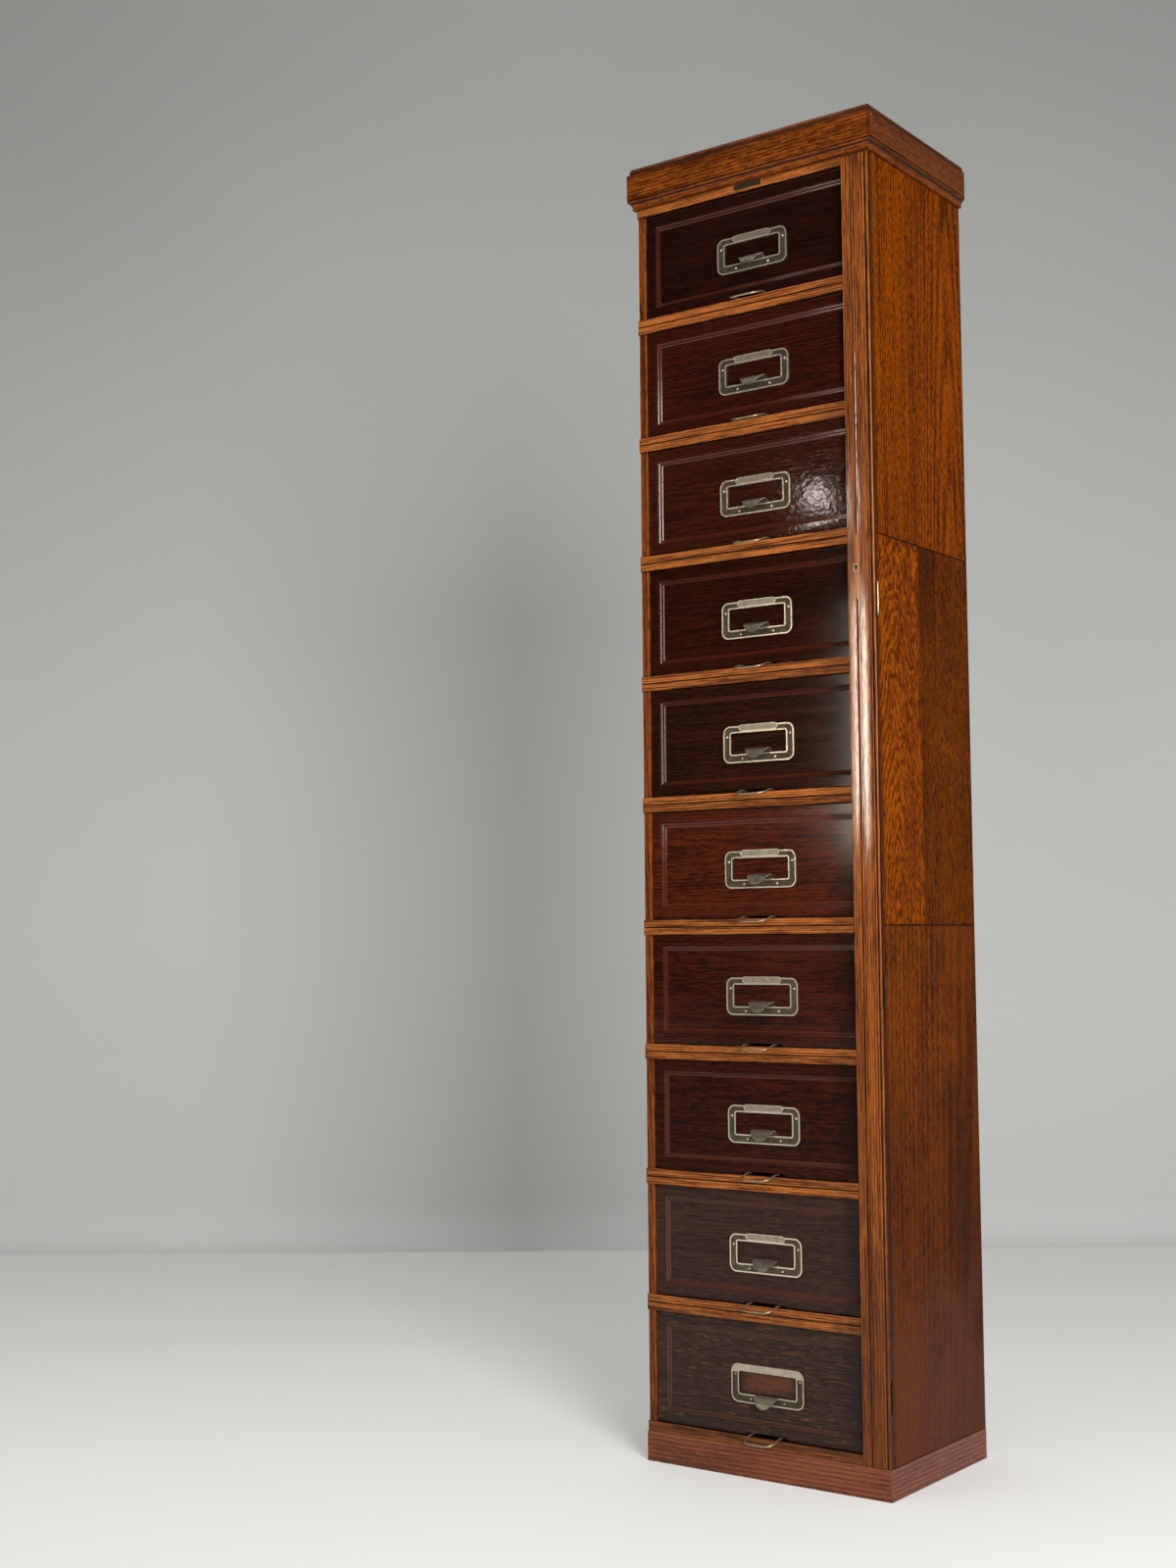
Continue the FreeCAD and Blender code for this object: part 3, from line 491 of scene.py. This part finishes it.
rails_low, rails_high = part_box("front_rails")
case_side, case_front = rails_high.x, rails_low.y
rail_oak = Oak("rail_oak", "zyx", 0.22, {
    "Light": tone(192, 110, 46), "Dark": tone(88, 38, 11), "Pore": tone(44, 18, 7),
    "Fleck": tone(184, 108, 48), "Heart": -0.4, "Depth": 0.03, "Slope": 0.012, "Spacing": 0.0035,
    "Wobble": 0.003, "Rings": 0.4, "Streaks": 0.7, "Pores": 0.9, "Flecks": 0.1, "Blotches": 0.35,
    "Dashes": 0.9, "Marks": (420, 420, 16), "Rough": 0.38})
# Darker towards the stile: browned by hands, and a painted shadow of the proud stile at the ends.
shade_towards_stile = rail_oak.band("x", 0.07, 0.154)
rail_oak.soil_and_shade(shade_towards_stile, tone(48, 26, 16), 0.36, 40)
towards_floor = rail_oak.band("z", 0.36, 0.06)
rail_oak.soil_and_shade(towards_floor, tone(34, 17, 9), 0.55, 40)
# Darkened in the scribed line: old polish and painted shade.
in_line = rail_oak.band("y", case_front + 0.0004, case_front + 0.0008)
rail_oak.soil_and_shade(in_line, tone(22, 9, 5), 0.95, 60)
eased("front_rails", rail_oak.material, 0.0007)


# Cornice. A small moulding and a deep fascia, both mitred at the front corners and returned along the
# sides, under a round-edged top board. Oak, polished, with dark lines of painted shade under the top board
# and at the steps of the moulding, and the right return painted darker as shade.

fascia_low, fascia_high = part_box("cornice_fascia")
moulding_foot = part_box("cornice_moulding")[0].z
cornice_oak = Oak("cornice_oak", "", 0.2, {
    "Light": tone(156, 78, 14), "Dark": tone(72, 27, 3), "Pore": tone(46, 18, 3), "Fleck": tone(152, 80, 18),
    "Heart": 1.7, "Depth": 0.04, "Slope": 0.03, "Spacing": 0.0045, "Wobble": 0.004, "Rings": 0.3,
    "Streaks": 0.5, "Pores": 0.85, "Flecks": 0.1, "Blotches": 0.35, "Dashes": 0.6,
    "Marks": (300, 300, 70), "Rough": 0.3}, corner=(case_side, case_front))
# Painted shade on the fascia under the top board's edge.
shade_under_top = cornice_oak.band("z", fascia_high.z - 0.007, fascia_high.z - 0.0005)
cornice_oak.soil_and_shade(shade_under_top, tone(40, 20, 9), 0.6, 50)
# Painted shade lines under the fascia, at the step between cove and bead, and at the moulding's foot.
for low, high in ((0.0137, 0.0153), (0.0090, 0.0106), (0.0002, 0.0008)):
    painted_shade_line = cornice_oak.within("z", moulding_foot + low, moulding_foot + high, 0.0004)
    cornice_oak.soil_and_shade(painted_shade_line, tone(30, 12, 4), 0.85, 60)
# The right return, which the key lamp lights, painted darker: painted shade.
painted_dark_return = cornice_oak.band("x", case_side + 0.001, case_side + 0.009)
cornice_oak.soil_and_shade(painted_dark_return, tone(14, 5, 0), 0.42, 30)
eased("cornice_fascia", cornice_oak.material, 0.0012)
eased("cornice_moulding", cornice_oak.material, 0.0003)

top_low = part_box("top_board")[0]
top_oak = Oak("top_board_oak", "yzx", 0.14, {
    "Light": tone(124, 64, 24), "Dark": tone(74, 34, 12), "Pore": tone(42, 18, 8), "Fleck": tone(140, 80, 34),
    "Heart": 0.03, "Depth": -1.86, "Slope": 0.05, "Spacing": 0.006, "Wobble": 0.012, "Rings": 0.45,
    "Streaks": 0.5, "Pores": 0.8, "Flecks": 0.1, "Blotches": 0.5, "Rough": 0.5})
# Darker towards the lower edge, where the round turns under: painted shade.
lower_edge = top_oak.band("z", top_low.z + 0.0085, top_low.z + 0.0015)
top_oak.soil_and_shade(lower_edge, tone(30, 14, 8), 0.75, 60)
eased("top_board", top_oak.material, 0.0005)


# Small plate on the top rail. A plain thin strip of brass, gone dark and greenish with age, laid flat on
# the oak and held by two pins.

def tarnish_group():
    """Bare metal dulled by age: a cloudy film of tarnish and specks of dirt."""
    tree, given, out = group("tarnish", [
        ("Place", "Vector", (0, 0, 0)), ("Bright", "Color", (0.6, 0.55, 0.45, 1)),
        ("Dull", "Color", (0.2, 0.16, 0.1, 1)), ("Dirt", "Color", (0.03, 0.02, 0.015, 1)),
        ("Amount", "Float", 0.5), ("Sunk", "Float", 0.0), ("Rough", "Float", 0.3)],
        [("Color", "Color"), ("Roughness", "Float"), ("Height", "Float")])
    cloud = noise(tree, given["Place"], 130.0, 5.0, 0.6)
    speck = noise(tree, given["Place"], 900.0, 3.0)
    film = calc(tree, "MULTIPLY_ADD", calc(tree, "SUBTRACT", cloud, 0.5), 0.45, given["Amount"])
    film = ease(tree, film, 0.0, 1.0)
    colour = mixed(tree, film, given["Bright"], given["Dull"])
    pitted = ease(tree, calc(tree, "MULTIPLY_ADD", given["Sunk"], 0.1, speck), 0.64, 0.84)
    colour = mixed(tree, calc(tree, "MULTIPLY", pitted, 0.8), colour, given["Dirt"])
    tree.links.new(colour, out["Color"])
    rough = calc(tree, "MULTIPLY_ADD", film, 0.22, given["Rough"])
    tree.links.new(calc(tree, "MULTIPLY_ADD", pitted, 0.25, rough), out["Roughness"])
    tree.links.new(calc(tree, "MULTIPLY_ADD", pitted, -0.6, cloud), out["Height"])
    return tree


tarnish = tarnish_group()


def metal(name, bright, dull, dirt, amount, rough, sunk=(), hollow=None, kept_bright=None, solid=1.0):
    """Aged metal; sunk holds the (axis, low, high, share) ramps that darken it: dirt and tarnish in the label
    frames, painted shade on the hinges; hollow a mask that does.

    Bare is a mask that is 0 where the metal is kept bright, on the pulls a painted highlight, and solid is
    under 1 where a dry film lies over the metal."""
    material, tree, shader = surface(name)
    shader.inputs["Metallic"].default_value = solid
    place = add(tree, "TexCoord").outputs["Object"]
    axes = dict(zip("xyz", add(tree, "SeparateXYZ", {0: place}).outputs))
    plugs = {"Place": place, "Bright": bright, "Dull": dull, "Dirt": dirt, "Rough": rough, "Amount": amount}
    depth = None
    for axis, low, high, share in sunk:
        ramp = calc(tree, "MULTIPLY", ease(tree, axes[axis], low, high), share)
        depth = ramp if depth is None else calc(tree, "MAXIMUM", depth, ramp)
    if hollow:
        depth = calc(tree, "MULTIPLY_ADD", hollow(tree, *axes.values()), 0.5, depth)
    if kept_bright:
        depth = calc(tree, "MULTIPLY", depth, kept_bright(tree, axes["y"]))
    if depth is not None:
        plugs["Sunk"] = depth
        plugs["Amount"] = calc(tree, "ADD", depth, amount)
    aged = add(tree, "Group", plugs, node_tree=tarnish).outputs
    tree.links.new(aged["Color"], shader.inputs["Base Color"])
    tree.links.new(aged["Roughness"], shader.inputs["Roughness"])
    bump = add(tree, "Bump", {"Strength": 0.6, "Distance": 0.00005, "Height": aged["Height"]})
    tree.links.new(bump.outputs[0], shader.inputs["Normal"])
    return material


dark_brass = metal("dark_brass", tone(122, 112, 84), tone(74, 68, 52), tone(24, 20, 14), 0.55, 0.42)
eased("blank_plate", dark_brass, 0.0002)


# Locking stile. A full-height oak board hinged at the right, run with a reed in a channel and two corner
# beads. It shuts over the drawer ends; a lighter patch is let into the channel round the keyhole.

stile_oak = Oak("stile_oak", "xyz", 0.2, {
    "Light": tone(172, 94, 34), "Dark": tone(84, 36, 9), "Pore": tone(44, 18, 7), "Fleck": tone(164, 92, 36),
    "Heart": -0.3, "Depth": 0.03, "Slope": 0.01, "Spacing": 0.004, "Wobble": 0.003, "Rings": 0.45,
    "Streaks": 0.7, "Pores": 0.9, "Flecks": 0.1, "Blotches": 0.3, "Dashes": 0.7,
    "Marks": (420, 420, 24), "Rough": 0.3}, relief=0.00002)
outside = stile_oak.band("y", case_front + 0.0035, case_front + 0.0025)
# Darkened in the channel: old dirt and painted shade.
in_channel = stile_oak.band("y", case_front + 0.0006, case_front + 0.0018)
stile_oak.soil_and_shade(in_channel, tone(28, 12, 6), 0.85, 60)
in_patch = stile_oak.overlap(stile_oak.within("z", 1.2085, 1.2975, 0.001),
                             stile_oak.within("x", 0.1662, 0.1714, 0.0004), outside, 0.75)
stile_oak.tint(in_patch, tone(186, 112, 48))
dull_flat = stile_oak.overlap(stile_oak.band("x", 0.1682, 0.1668), stile_oak.band("z", 0.8, 0.65),
                              stile_oak.band("z", 0.3, 0.45))
stile_oak.soil_and_shade(dull_flat, tone(60, 28, 10), 0.3, 40)
dusty_foot = stile_oak.band("z", 0.6, 0.1)
stile_oak.soil_and_shade(dusty_foot, tone(56, 29, 16), 0.5, 40)
handled = stile_oak.overlap(stile_oak.band("z", 0.55, 0.95), stile_oak.band("x", 0.188, 0.176), outside,
                            ease(stile_oak.tree, stile_oak.rough, 0.36, 0.28))
stile_oak.polish(handled, 0.11)
stile_oak.shader.inputs["Coat IOR"].default_value = 2.0
eased("locking_stile", stile_oak.material, 0.0004, hold=False)


# Lock. A small steel case screwed behind the stile, its bolt shooting sideways into the right side, and
# a rim of worn brass round the keyhole in front.

lock_steel = metal("lock_steel", tone(120, 116, 108), tone(76, 70, 62), tone(30, 20, 14), 0.45, 0.4)
eased("lock_case", lock_steel, 0.0005)
eased("lock_bolt", lock_steel, 0.0004)
worn_brass = metal("worn_brass", tone(206, 166, 118), tone(150, 108, 66), tone(40, 26, 14), 0.3, 0.3,
                   solid=0.6)
eased("keyhole_escutcheon", worn_brass, 0.0002, shortest=0.0)


# Hinges. Four small butt hinges of drawn brass let into the stile and the side; the one beside the lock is
# kept bright and the others dulled above and below it, a painted highlight and painted shade. A steel pin
# runs through the knuckles and ends in a little turned ball at the top and the bottom.

pins_low, pins_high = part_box("hinge_pins")
hinge_axis = ((pins_low.x + pins_high.x) / 2, (pins_low.y + pins_high.y) / 2)
hinge_count = 4
hinge_height = 0.04
hinge_pitch = (pins_high.z - pins_low.z - hinge_height) / (hinge_count - 1)
# Bright at the lock's height and dull above and below it: a painted highlight and painted shade, not tarnish.
hinge_brass_painted_glint = metal("hinge_brass_painted_glint", tone(196, 172, 128), tone(70, 48, 26), tone(26, 16, 8), 0.2, 0.34,
                    sunk=[("z", 1.3, 1.5, 0.7), ("z", 1.1, 0.9, 0.7)])
for name in ("hinge_leaves_fixed", "hinge_leaves_swinging"):
    eased(name, hinge_brass_painted_glint, 0.0002)
eased("hinge_pins", lock_steel, 0.0001)


def turned(mesh, x, y, z, profile, steps=14):
    """Rings of points for a turned shape, profile being (radius, height) pairs from one end."""
    turns = [2 * math.pi * i / steps for i in range(steps)]
    rings = []
    for radius, rise in profile:
        around = turns if radius else turns[:1]
        rings.append([mesh.verts.new((x + radius * math.cos(a), y + radius * math.sin(a), z + rise))
                      for a in around])
    for lower, upper in zip(rings, rings[1:]):
        for i in range(steps):
            j = (i + 1) % steps
            below = (lower[i % len(lower)], lower[j % len(lower)])
            above = (upper[j % len(upper)], upper[i % len(upper)])
            mesh.faces.new(list(dict.fromkeys(below + above)))


def shaped(name, build, material, body):
    """A new piece from a mesh-building function, smooth shaded, that moves with a body."""
    mesh = bmesh.new()
    build(mesh)
    bmesh.ops.recalc_face_normals(mesh, faces=mesh.faces)
    for face in mesh.faces:
        face.smooth = True
    piece = placed(name, mesh, material)
    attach(piece, body)


def hinge_balls(mesh):
    outline = [(0.0, 0.0), (0.0013, 0.0), (0.0009, 0.0006), (0.0014, 0.0013), (0.0016, 0.0020),
               (0.0013, 0.0028), (0.0007, 0.0033), (0.0, 0.0034)]
    for hinge in range(hinge_count):
        pin_foot = pins_low.z + hinge * hinge_pitch
        turned(mesh, *hinge_axis, pin_foot + hinge_height, outline)
        turned(mesh, *hinge_axis, pin_foot, [(radius, -rise) for radius, rise in outline])


shaped("hinge_balls", hinge_balls, hinge_brass_painted_glint, "case")


# Nails. One copper nail head shows in the right return of the fascia, close to the corner, and five
# stopped nail holes run down the right side near its front edge.

copper = metal("copper_nail", tone(222, 128, 88), tone(150, 78, 48), tone(60, 30, 20), 0.3, 0.4)


def copper_head(mesh):
    outline = [(0.0, -0.0006), (0.0024, -0.0006), (0.0025, 0.0001), (0.002, 0.0004), (0.001, 0.0006),
               (0.0, 0.0006)]
    place = Matrix.Translation((fascia_high.x, fascia_low.y + 0.0067, fascia_high.z - 0.0068))
    turned(mesh, 0, 0, 0, outline)
    bmesh.ops.transform(mesh, matrix=place @ Matrix.Rotation(math.pi / 2, 4, "Y"), verts=mesh.verts)


shaped("copper_nail_head", copper_head, copper, "case")

stopping = Oak("stopping_wax", "yxz", 0.2, {
    "Light": tone(44, 22, 9), "Dark": tone(16, 8, 3), "Pore": tone(10, 5, 2), "Fleck": tone(40, 20, 9),
    "Rings": 0.1, "Streaks": 0.8, "Pores": 0.4, "Blotches": 0.6, "Rough": 0.5})


def stopped_holes(mesh):
    """Low, ragged domes of wax, given as (depth place, height, half height in millimetres)."""
    rng = random.Random(7)
    steps = 16
    half_width = 3.0
    middle_stands = 0.0003
    rim_stands = 0.00002
    for y, z, half_height in ((-0.1152, 1.628, 3.2), (-0.1194, 1.446, 3.0), (-0.1205, 1.265, 3.4),
                              (-0.1212, 1.089, 4.4), (-0.1218, 0.911, 3.8)):
        centre = mesh.verts.new((case_side + middle_stands, y, z))
        rim = []
        for i in range(steps):
            a = 2 * math.pi * i / steps
            r = rng.uniform(0.85, 1.15) * 0.001
            rim.append(mesh.verts.new((case_side + rim_stands, y + half_width * r * math.cos(a),
                                       z + half_height * r * math.sin(a))))
        for i in range(steps):
            mesh.faces.new((centre, rim[i], rim[(i + 1) % steps]))


shaped("stopped_nail_holes", stopped_holes, stopping.material, "case")


# Drawer fronts. Each is a dark-stained oak board with a mitred, moulded border on three edges; the fourth
# ends at the stile. Every board took the stain differently, and the lower ones are dry and dusty.

border_rise = 0.005
front_looks = {
    1: (tone(44, 13, 5), tone(20, 5, 2), 0.45, 0.08),
    2: (tone(66, 22, 8), tone(32, 9, 3), 0.45, 0.08),
    3: (tone(68, 25, 9), tone(34, 11, 4), 0.5, 0.05),
    4: (tone(56, 22, 10), tone(28, 10, 4), 0.1, 0.09),
    5: (tone(56, 27, 16), tone(28, 12, 6), 0.15, 0.09),
    6: (tone(92, 36, 13), tone(44, 14, 5), 0.4, 0.11),
    7: (tone(74, 26, 9), tone(36, 11, 4), 0.35, 0.14),
    8: (tone(66, 24, 11), tone(28, 8, 4), 0.12, 0.2),
    9: (tone(70, 40, 29), tone(38, 18, 12), 0.25, 0.34),
    10: (tone(66, 42, 31), tone(34, 19, 13), 0.25, 0.38)}
for number, (light, dark, gloss, rough) in front_looks.items():
    name = "drawer_%02d_front" % number
    low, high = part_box(name)
    rippled = number == 3
    streaky = number >= 7
    dusty = number >= 8
    flecked = number == 10
    front = Oak("front_%02d_stain" % number, "zyx", gloss, {
        "Light": light, "Dark": dark, "Pore": tone(14, 6, 4),
        "Fleck": tone(116, 72, 42) if flecked else light,
        "Heart": low.z + 0.02 + 0.013 * number, "Depth": 0.15 + 0.007 * (number * 3 % 5), "Slope": 0.03,
        "Spacing": 0.004, "Wobble": 0.012, "Rings": 0.25, "Streaks": 0.85 if streaky else 0.5, "Pores": 0.8,
        "Dashes": 1.0 if streaky else 0.7, "Marks": (480, 480, 55), "Flecks": 0.55 if flecked else 0.1,
        "Blotches": 0.35, "Lumps": 6.5 if rippled else 1.5, "Rough": rough},
        relief=0.000012 if rippled else 0.000003)
    field = low.y + border_rise
    # The moulding slopes are tinted lighter: partly a redder stain, partly a painted highlight; on the dusty
    # lower fronts the pale tint is a painted highlight.
    slope = front.overlap(front.band("y", field - 0.0003, field - 0.001),
                          front.band("y", low.y + 0.0003, low.y + 0.0013), 0.3)
    front.tint(slope, tone(112, 70, 54) if dusty else tone(110, 46, 26))
    if flecked:
        frame_low, frame_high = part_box("drawer_10_label_frame")
        unfaded = front.overlap(front.band("x", frame_low.x, frame_low.x + 0.045),
                                front.band("x", frame_high.x, frame_high.x - 0.035),
                                front.band("z", frame_low.z + 0.01, frame_low.z + 0.03),
                                front.band("z", frame_high.z, frame_high.z - 0.02))
        front.soil_and_shade(unfaded, tone(140, 72, 32), 0.32, 90)
    else:
        left_slope = front.overlap(slope, front.band("x", low.x + 0.03, low.x + 0.025), 3.0 - 0.3 * number)
        front.polish(left_slope, 0.12)
    # Darker towards the stile: a painted shadow of the stile.
    shade_towards_stile = front.band("x", 0.13 if number < 4 else 0.09, 0.152)
    front.soil_and_shade(shade_towards_stile, tone(16, 8, 6), 0.6, 30)
    lower_edge = front.band("z", low.z + 0.006, low.z)
    front.soil_and_shade(lower_edge, tone(14, 7, 5), 0.7, 50)
    front.rub(low, high, tone(104, 56, 34), 0.0013, 0.4)
    eased(name, front.material, 0.0004, hold=False)


# Drawer boxes. Plain oak sides, back and bottom, glued and nailed together and butted against each front.
# They slide on the runners, and the bare wood is darkened by use.

drawers = ["drawer_%02d" % number for number in range(1, 11)]
for drawer in drawers:
    eased(drawer + "_box", inside_oak.material, 0.0006)


# Label frames. Frames of nickel-plated brass with rolled rims and a hooded pull, pinned to each front.
# Nine have a plain cartouche on the top bar, and the lowest has a flat bar. The plating is bright on the
# rims and brown in the channel.

frame_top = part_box("drawer_01_label_frame")[1].z
frame_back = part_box("drawer_01_label_frame")[1].y
drawer_pitch = frame_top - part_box("drawer_02_label_frame")[1].z


def cartouche(tree, x, y, z):
    """1 on the sunk panel of every cartouche; the nine are one drawer pitch apart."""
    middle = frame_top - 0.0047
    straight = 0.0273
    panel = frame_back - 0.0028
    rise = calc(tree, "WRAP", calc(tree, "SUBTRACT", z, middle), drawer_pitch / 2, -drawer_pitch / 2)
    beyond = calc(tree, "MAXIMUM", calc(tree, "SUBTRACT", calc(tree, "ABSOLUTE", x), straight), 0.0)
    squared = calc(tree, "MULTIPLY_ADD", beyond, beyond, calc(tree, "MULTIPLY", rise, rise))
    sunk = calc(tree, "MULTIPLY", ease(tree, y, panel + 0.0005, panel + 0.0002),
                ease(tree, y, panel - 0.0004, panel - 0.0001))
    return calc(tree, "MULTIPLY", sunk, ease(tree, calc(tree, "SQRT", squared), 0.0038, 0.0036))


def pull_flank_glint(tree, y):
    """0 on the flanks of the hooded pulls, kept bright as a painted highlight, and 1 elsewhere."""
    side = add(tree, "SeparateXYZ", {0: add(tree, "TexCoord").outputs["Normal"]}).outputs[0]
    flank = ease(tree, calc(tree, "ABSOLUTE", side), 0.5, 0.2)
    return calc(tree, "MAXIMUM", flank, ease(tree, y, frame_back - 0.0045, frame_back - 0.0035))


def plating(name, amount, hooded, hollow=None):
    """Nickel on brass; amount is how far it has dulled, hooded how much more on the pull."""
    channel = ("y", frame_back - 0.0026, frame_back - 0.0019, 0.85)
    pull = ("y", frame_back - 0.0038, frame_back - 0.006, hooded)
    return metal(name, tone(236, 222, 198), tone(84, 72, 54), tone(30, 24, 18), amount, 0.24,
                 sunk=[channel, pull], hollow=hollow, kept_bright=pull_flank_glint, solid=0.76)


nickel = plating("aged_nickel", 0.02, 0.66, cartouche)
dull_nickel = plating("dull_nickel", 0.45, 0.1)
for drawer in drawers:
    plate = dull_nickel if drawer == drawers[-1] else nickel
    eased(drawer + "_label_frame", plate, 0.00045, shortest=0.0, steps=3)


# Finger loops. A bow of drawn wire in front of each drawer's lower edge, dull and brown with age. Its two
# legs run back through a shallow scoop under the front and are stapled below the drawer.

wire = metal("loop_wire", tone(188, 170, 138), tone(108, 90, 66), tone(30, 21, 14), 0.25, 0.3, solid=0.8)
for drawer in drawers:
    eased(drawer + "_finger_loop", wire, 0.0001)


# Studio. A plain pale floor and a light grey wall behind, the floor painted darker towards the wall and the
# wall darker towards the top as painted shade; one broad soft light from the right, two narrow soft boxes
# from the left front, and a weak fill overhead; the camera stands low and to the right.

yaw, pitch, roll = math.radians(36.403), math.radians(4.521), math.radians(-0.422)
stand = Vector((1.49246, -2.5608, 0.73915))
ahead = Vector((-math.sin(yaw) * math.cos(pitch), math.cos(yaw) * math.cos(pitch), math.sin(pitch)))
right = ahead.cross(Vector((0, 0, 1))).normalized()
above = right.cross(ahead)
level = right * math.cos(roll) + above * math.sin(roll)
upright = above * math.cos(roll) - right * math.sin(roll)
lens = bpy.data.cameras.new("camera")
lens.lens = 46.21
lens.sensor_width = 36.0
camera = bpy.data.objects.new("camera", lens)
camera.matrix_world = Matrix((level, upright, -ahead)).transposed().to_4x4()
camera.location = stand
bpy.context.scene.collection.objects.link(camera)
bpy.context.scene.camera = camera

floor_way = Vector((-math.sin(yaw), math.cos(yaw), 0))
below_camera = Vector((stand.x, stand.y, 0))


def stage_sheet(name, profile, colour, painted_falloff, fade, lift, reach):
    """A sheet across the view, seen only from in front, with a faint glow of its own.

    Profile is (distance ahead, height) pairs; fade is the way, the start and the end of the change from
    colour to painted_falloff, a painted shade that darkens the sheet away from the camera and upwards; reach
    is half the sheet's width."""
    mesh = bmesh.new()
    rows = []
    for far, rise in profile:
        middle = below_camera + floor_way * far + Vector((0, 0, rise))
        rows.append([mesh.verts.new(middle - right * reach), mesh.verts.new(middle + right * reach)])
    for one, two in zip(rows, rows[1:]):
        mesh.faces.new((one[0], one[1], two[1], two[0])).smooth = True
    material, tree, shader = surface(name)
    shader.inputs["Roughness"].default_value = 0.7
    shader.inputs["Specular IOR Level"].default_value = 0.2
    spot = add(tree, "TexCoord").outputs["Object"]
    clouds = calc(tree, "SUBTRACT", noise(tree, spot, 0.8, 2.0), 0.5)
    way, start, end = fade
    travel = add(tree, "VectorMath", {0: spot, 1: way}, operation="DOT_PRODUCT").outputs["Value"]
    cloudy = calc(tree, "MULTIPLY_ADD", clouds, 0.2, ease(tree, travel, start, end))
    tree.links.new(mixed(tree, cloudy, colour, painted_falloff), shader.inputs["Base Color"])
    shader.inputs["Emission Color"].default_value = (1.0, 1.0, 0.98, 1.0)
    path = add(tree, "LightPath").outputs
    seen = calc(tree, "MAXIMUM", path["Is Camera Ray"], path["Is Glossy Ray"])
    tree.links.new(calc(tree, "MULTIPLY", seen, lift), shader.inputs["Emission Strength"])
    clear = add(tree, "BsdfTransparent").outputs[0]
    behind = add(tree, "NewGeometry").outputs["Backfacing"]
    one_sided = add(tree, "MixShader", {0: behind, 1: shader.outputs[0], 2: clear}).outputs[0]
    tree.links.new(one_sided, tree.nodes["Material Output"].inputs["Surface"])
    placed(name, mesh, material)


wall_at = 5.02
cove = 0.1
cove_steps = 8
turns = [math.pi / 2 * i / cove_steps for i in range(cove_steps + 1)]
wall_foot = [(wall_at - cove + cove * math.sin(a), cove - cove * math.cos(a)) for a in turns]
near = below_camera.dot(floor_way)
# The floor is painted darker towards the wall and the wall darker towards the top: painted shade.
stage_sheet("floor", [(-10.0, 0.0), (14.0, 0.0)], (0.94, 0.94, 0.92, 1.0), (0.6, 0.6, 0.58, 1.0),
            (floor_way, near + 2.6, near + 5.0), 0.16, 12.0)
stage_sheet("wall", wall_foot + [(wall_at, 6.0)], (0.68, 0.695, 0.675, 1.0), (0.33, 0.34, 0.325, 1.0),
            ((0, 0, 1), 0.3, 3.4), 0.04, 9.0)


def soft_lamp(name, place, aim, wide, tall, watts, colour=(1.0, 1.0, 1.0)):
    data = bpy.data.lights.new(name, "AREA")
    data.shape = "RECTANGLE"
    data.size = wide
    data.size_y = tall
    data.energy = watts
    data.color = colour
    lamp = bpy.data.objects.new(name, data)
    lamp.location = place
    lamp.rotation_mode = "QUATERNION"
    lamp.rotation_quaternion = (Vector(aim) - Vector(place)).to_track_quat("-Z", "Y")
    bpy.context.scene.collection.objects.link(lamp)


soft_lamp("key", (2.6, -2.2, 1.8), (0, 0, 1.0), 1.2, 1.4, 104)
soft_lamp("soft_box", (-1.472, -3.2, 1.4), (0.1, -0.1, 1.05), 0.11, 0.76, 5.0, (1.0, 0.86, 0.7))
soft_lamp("small_box", (-1.65, -3.2, 2.12), (0.1, -0.1, 1.35), 0.07, 0.08, 0.34, (1.0, 0.92, 0.84))
soft_lamp("overhead", (0.0, -0.6, 4.2), (0, 0, 0), 3.0, 3.0, 34)

world = bpy.data.worlds.new("room")
world.use_nodes = True
bpy.context.scene.world = world
air = world.node_tree
path = add(air, "LightPath").outputs
seen = mixed(air, path["Is Camera Ray"], (0.22, 0.22, 0.22, 1), (0.6, 0.61, 0.6, 1))
air_light = mixed(air, path["Is Glossy Ray"], seen, (0.04, 0.04, 0.04, 1))
air.links.new(air_light, air.nodes["Background"].inputs["Color"])
bpy.context.scene.view_settings.view_transform = "Standard"
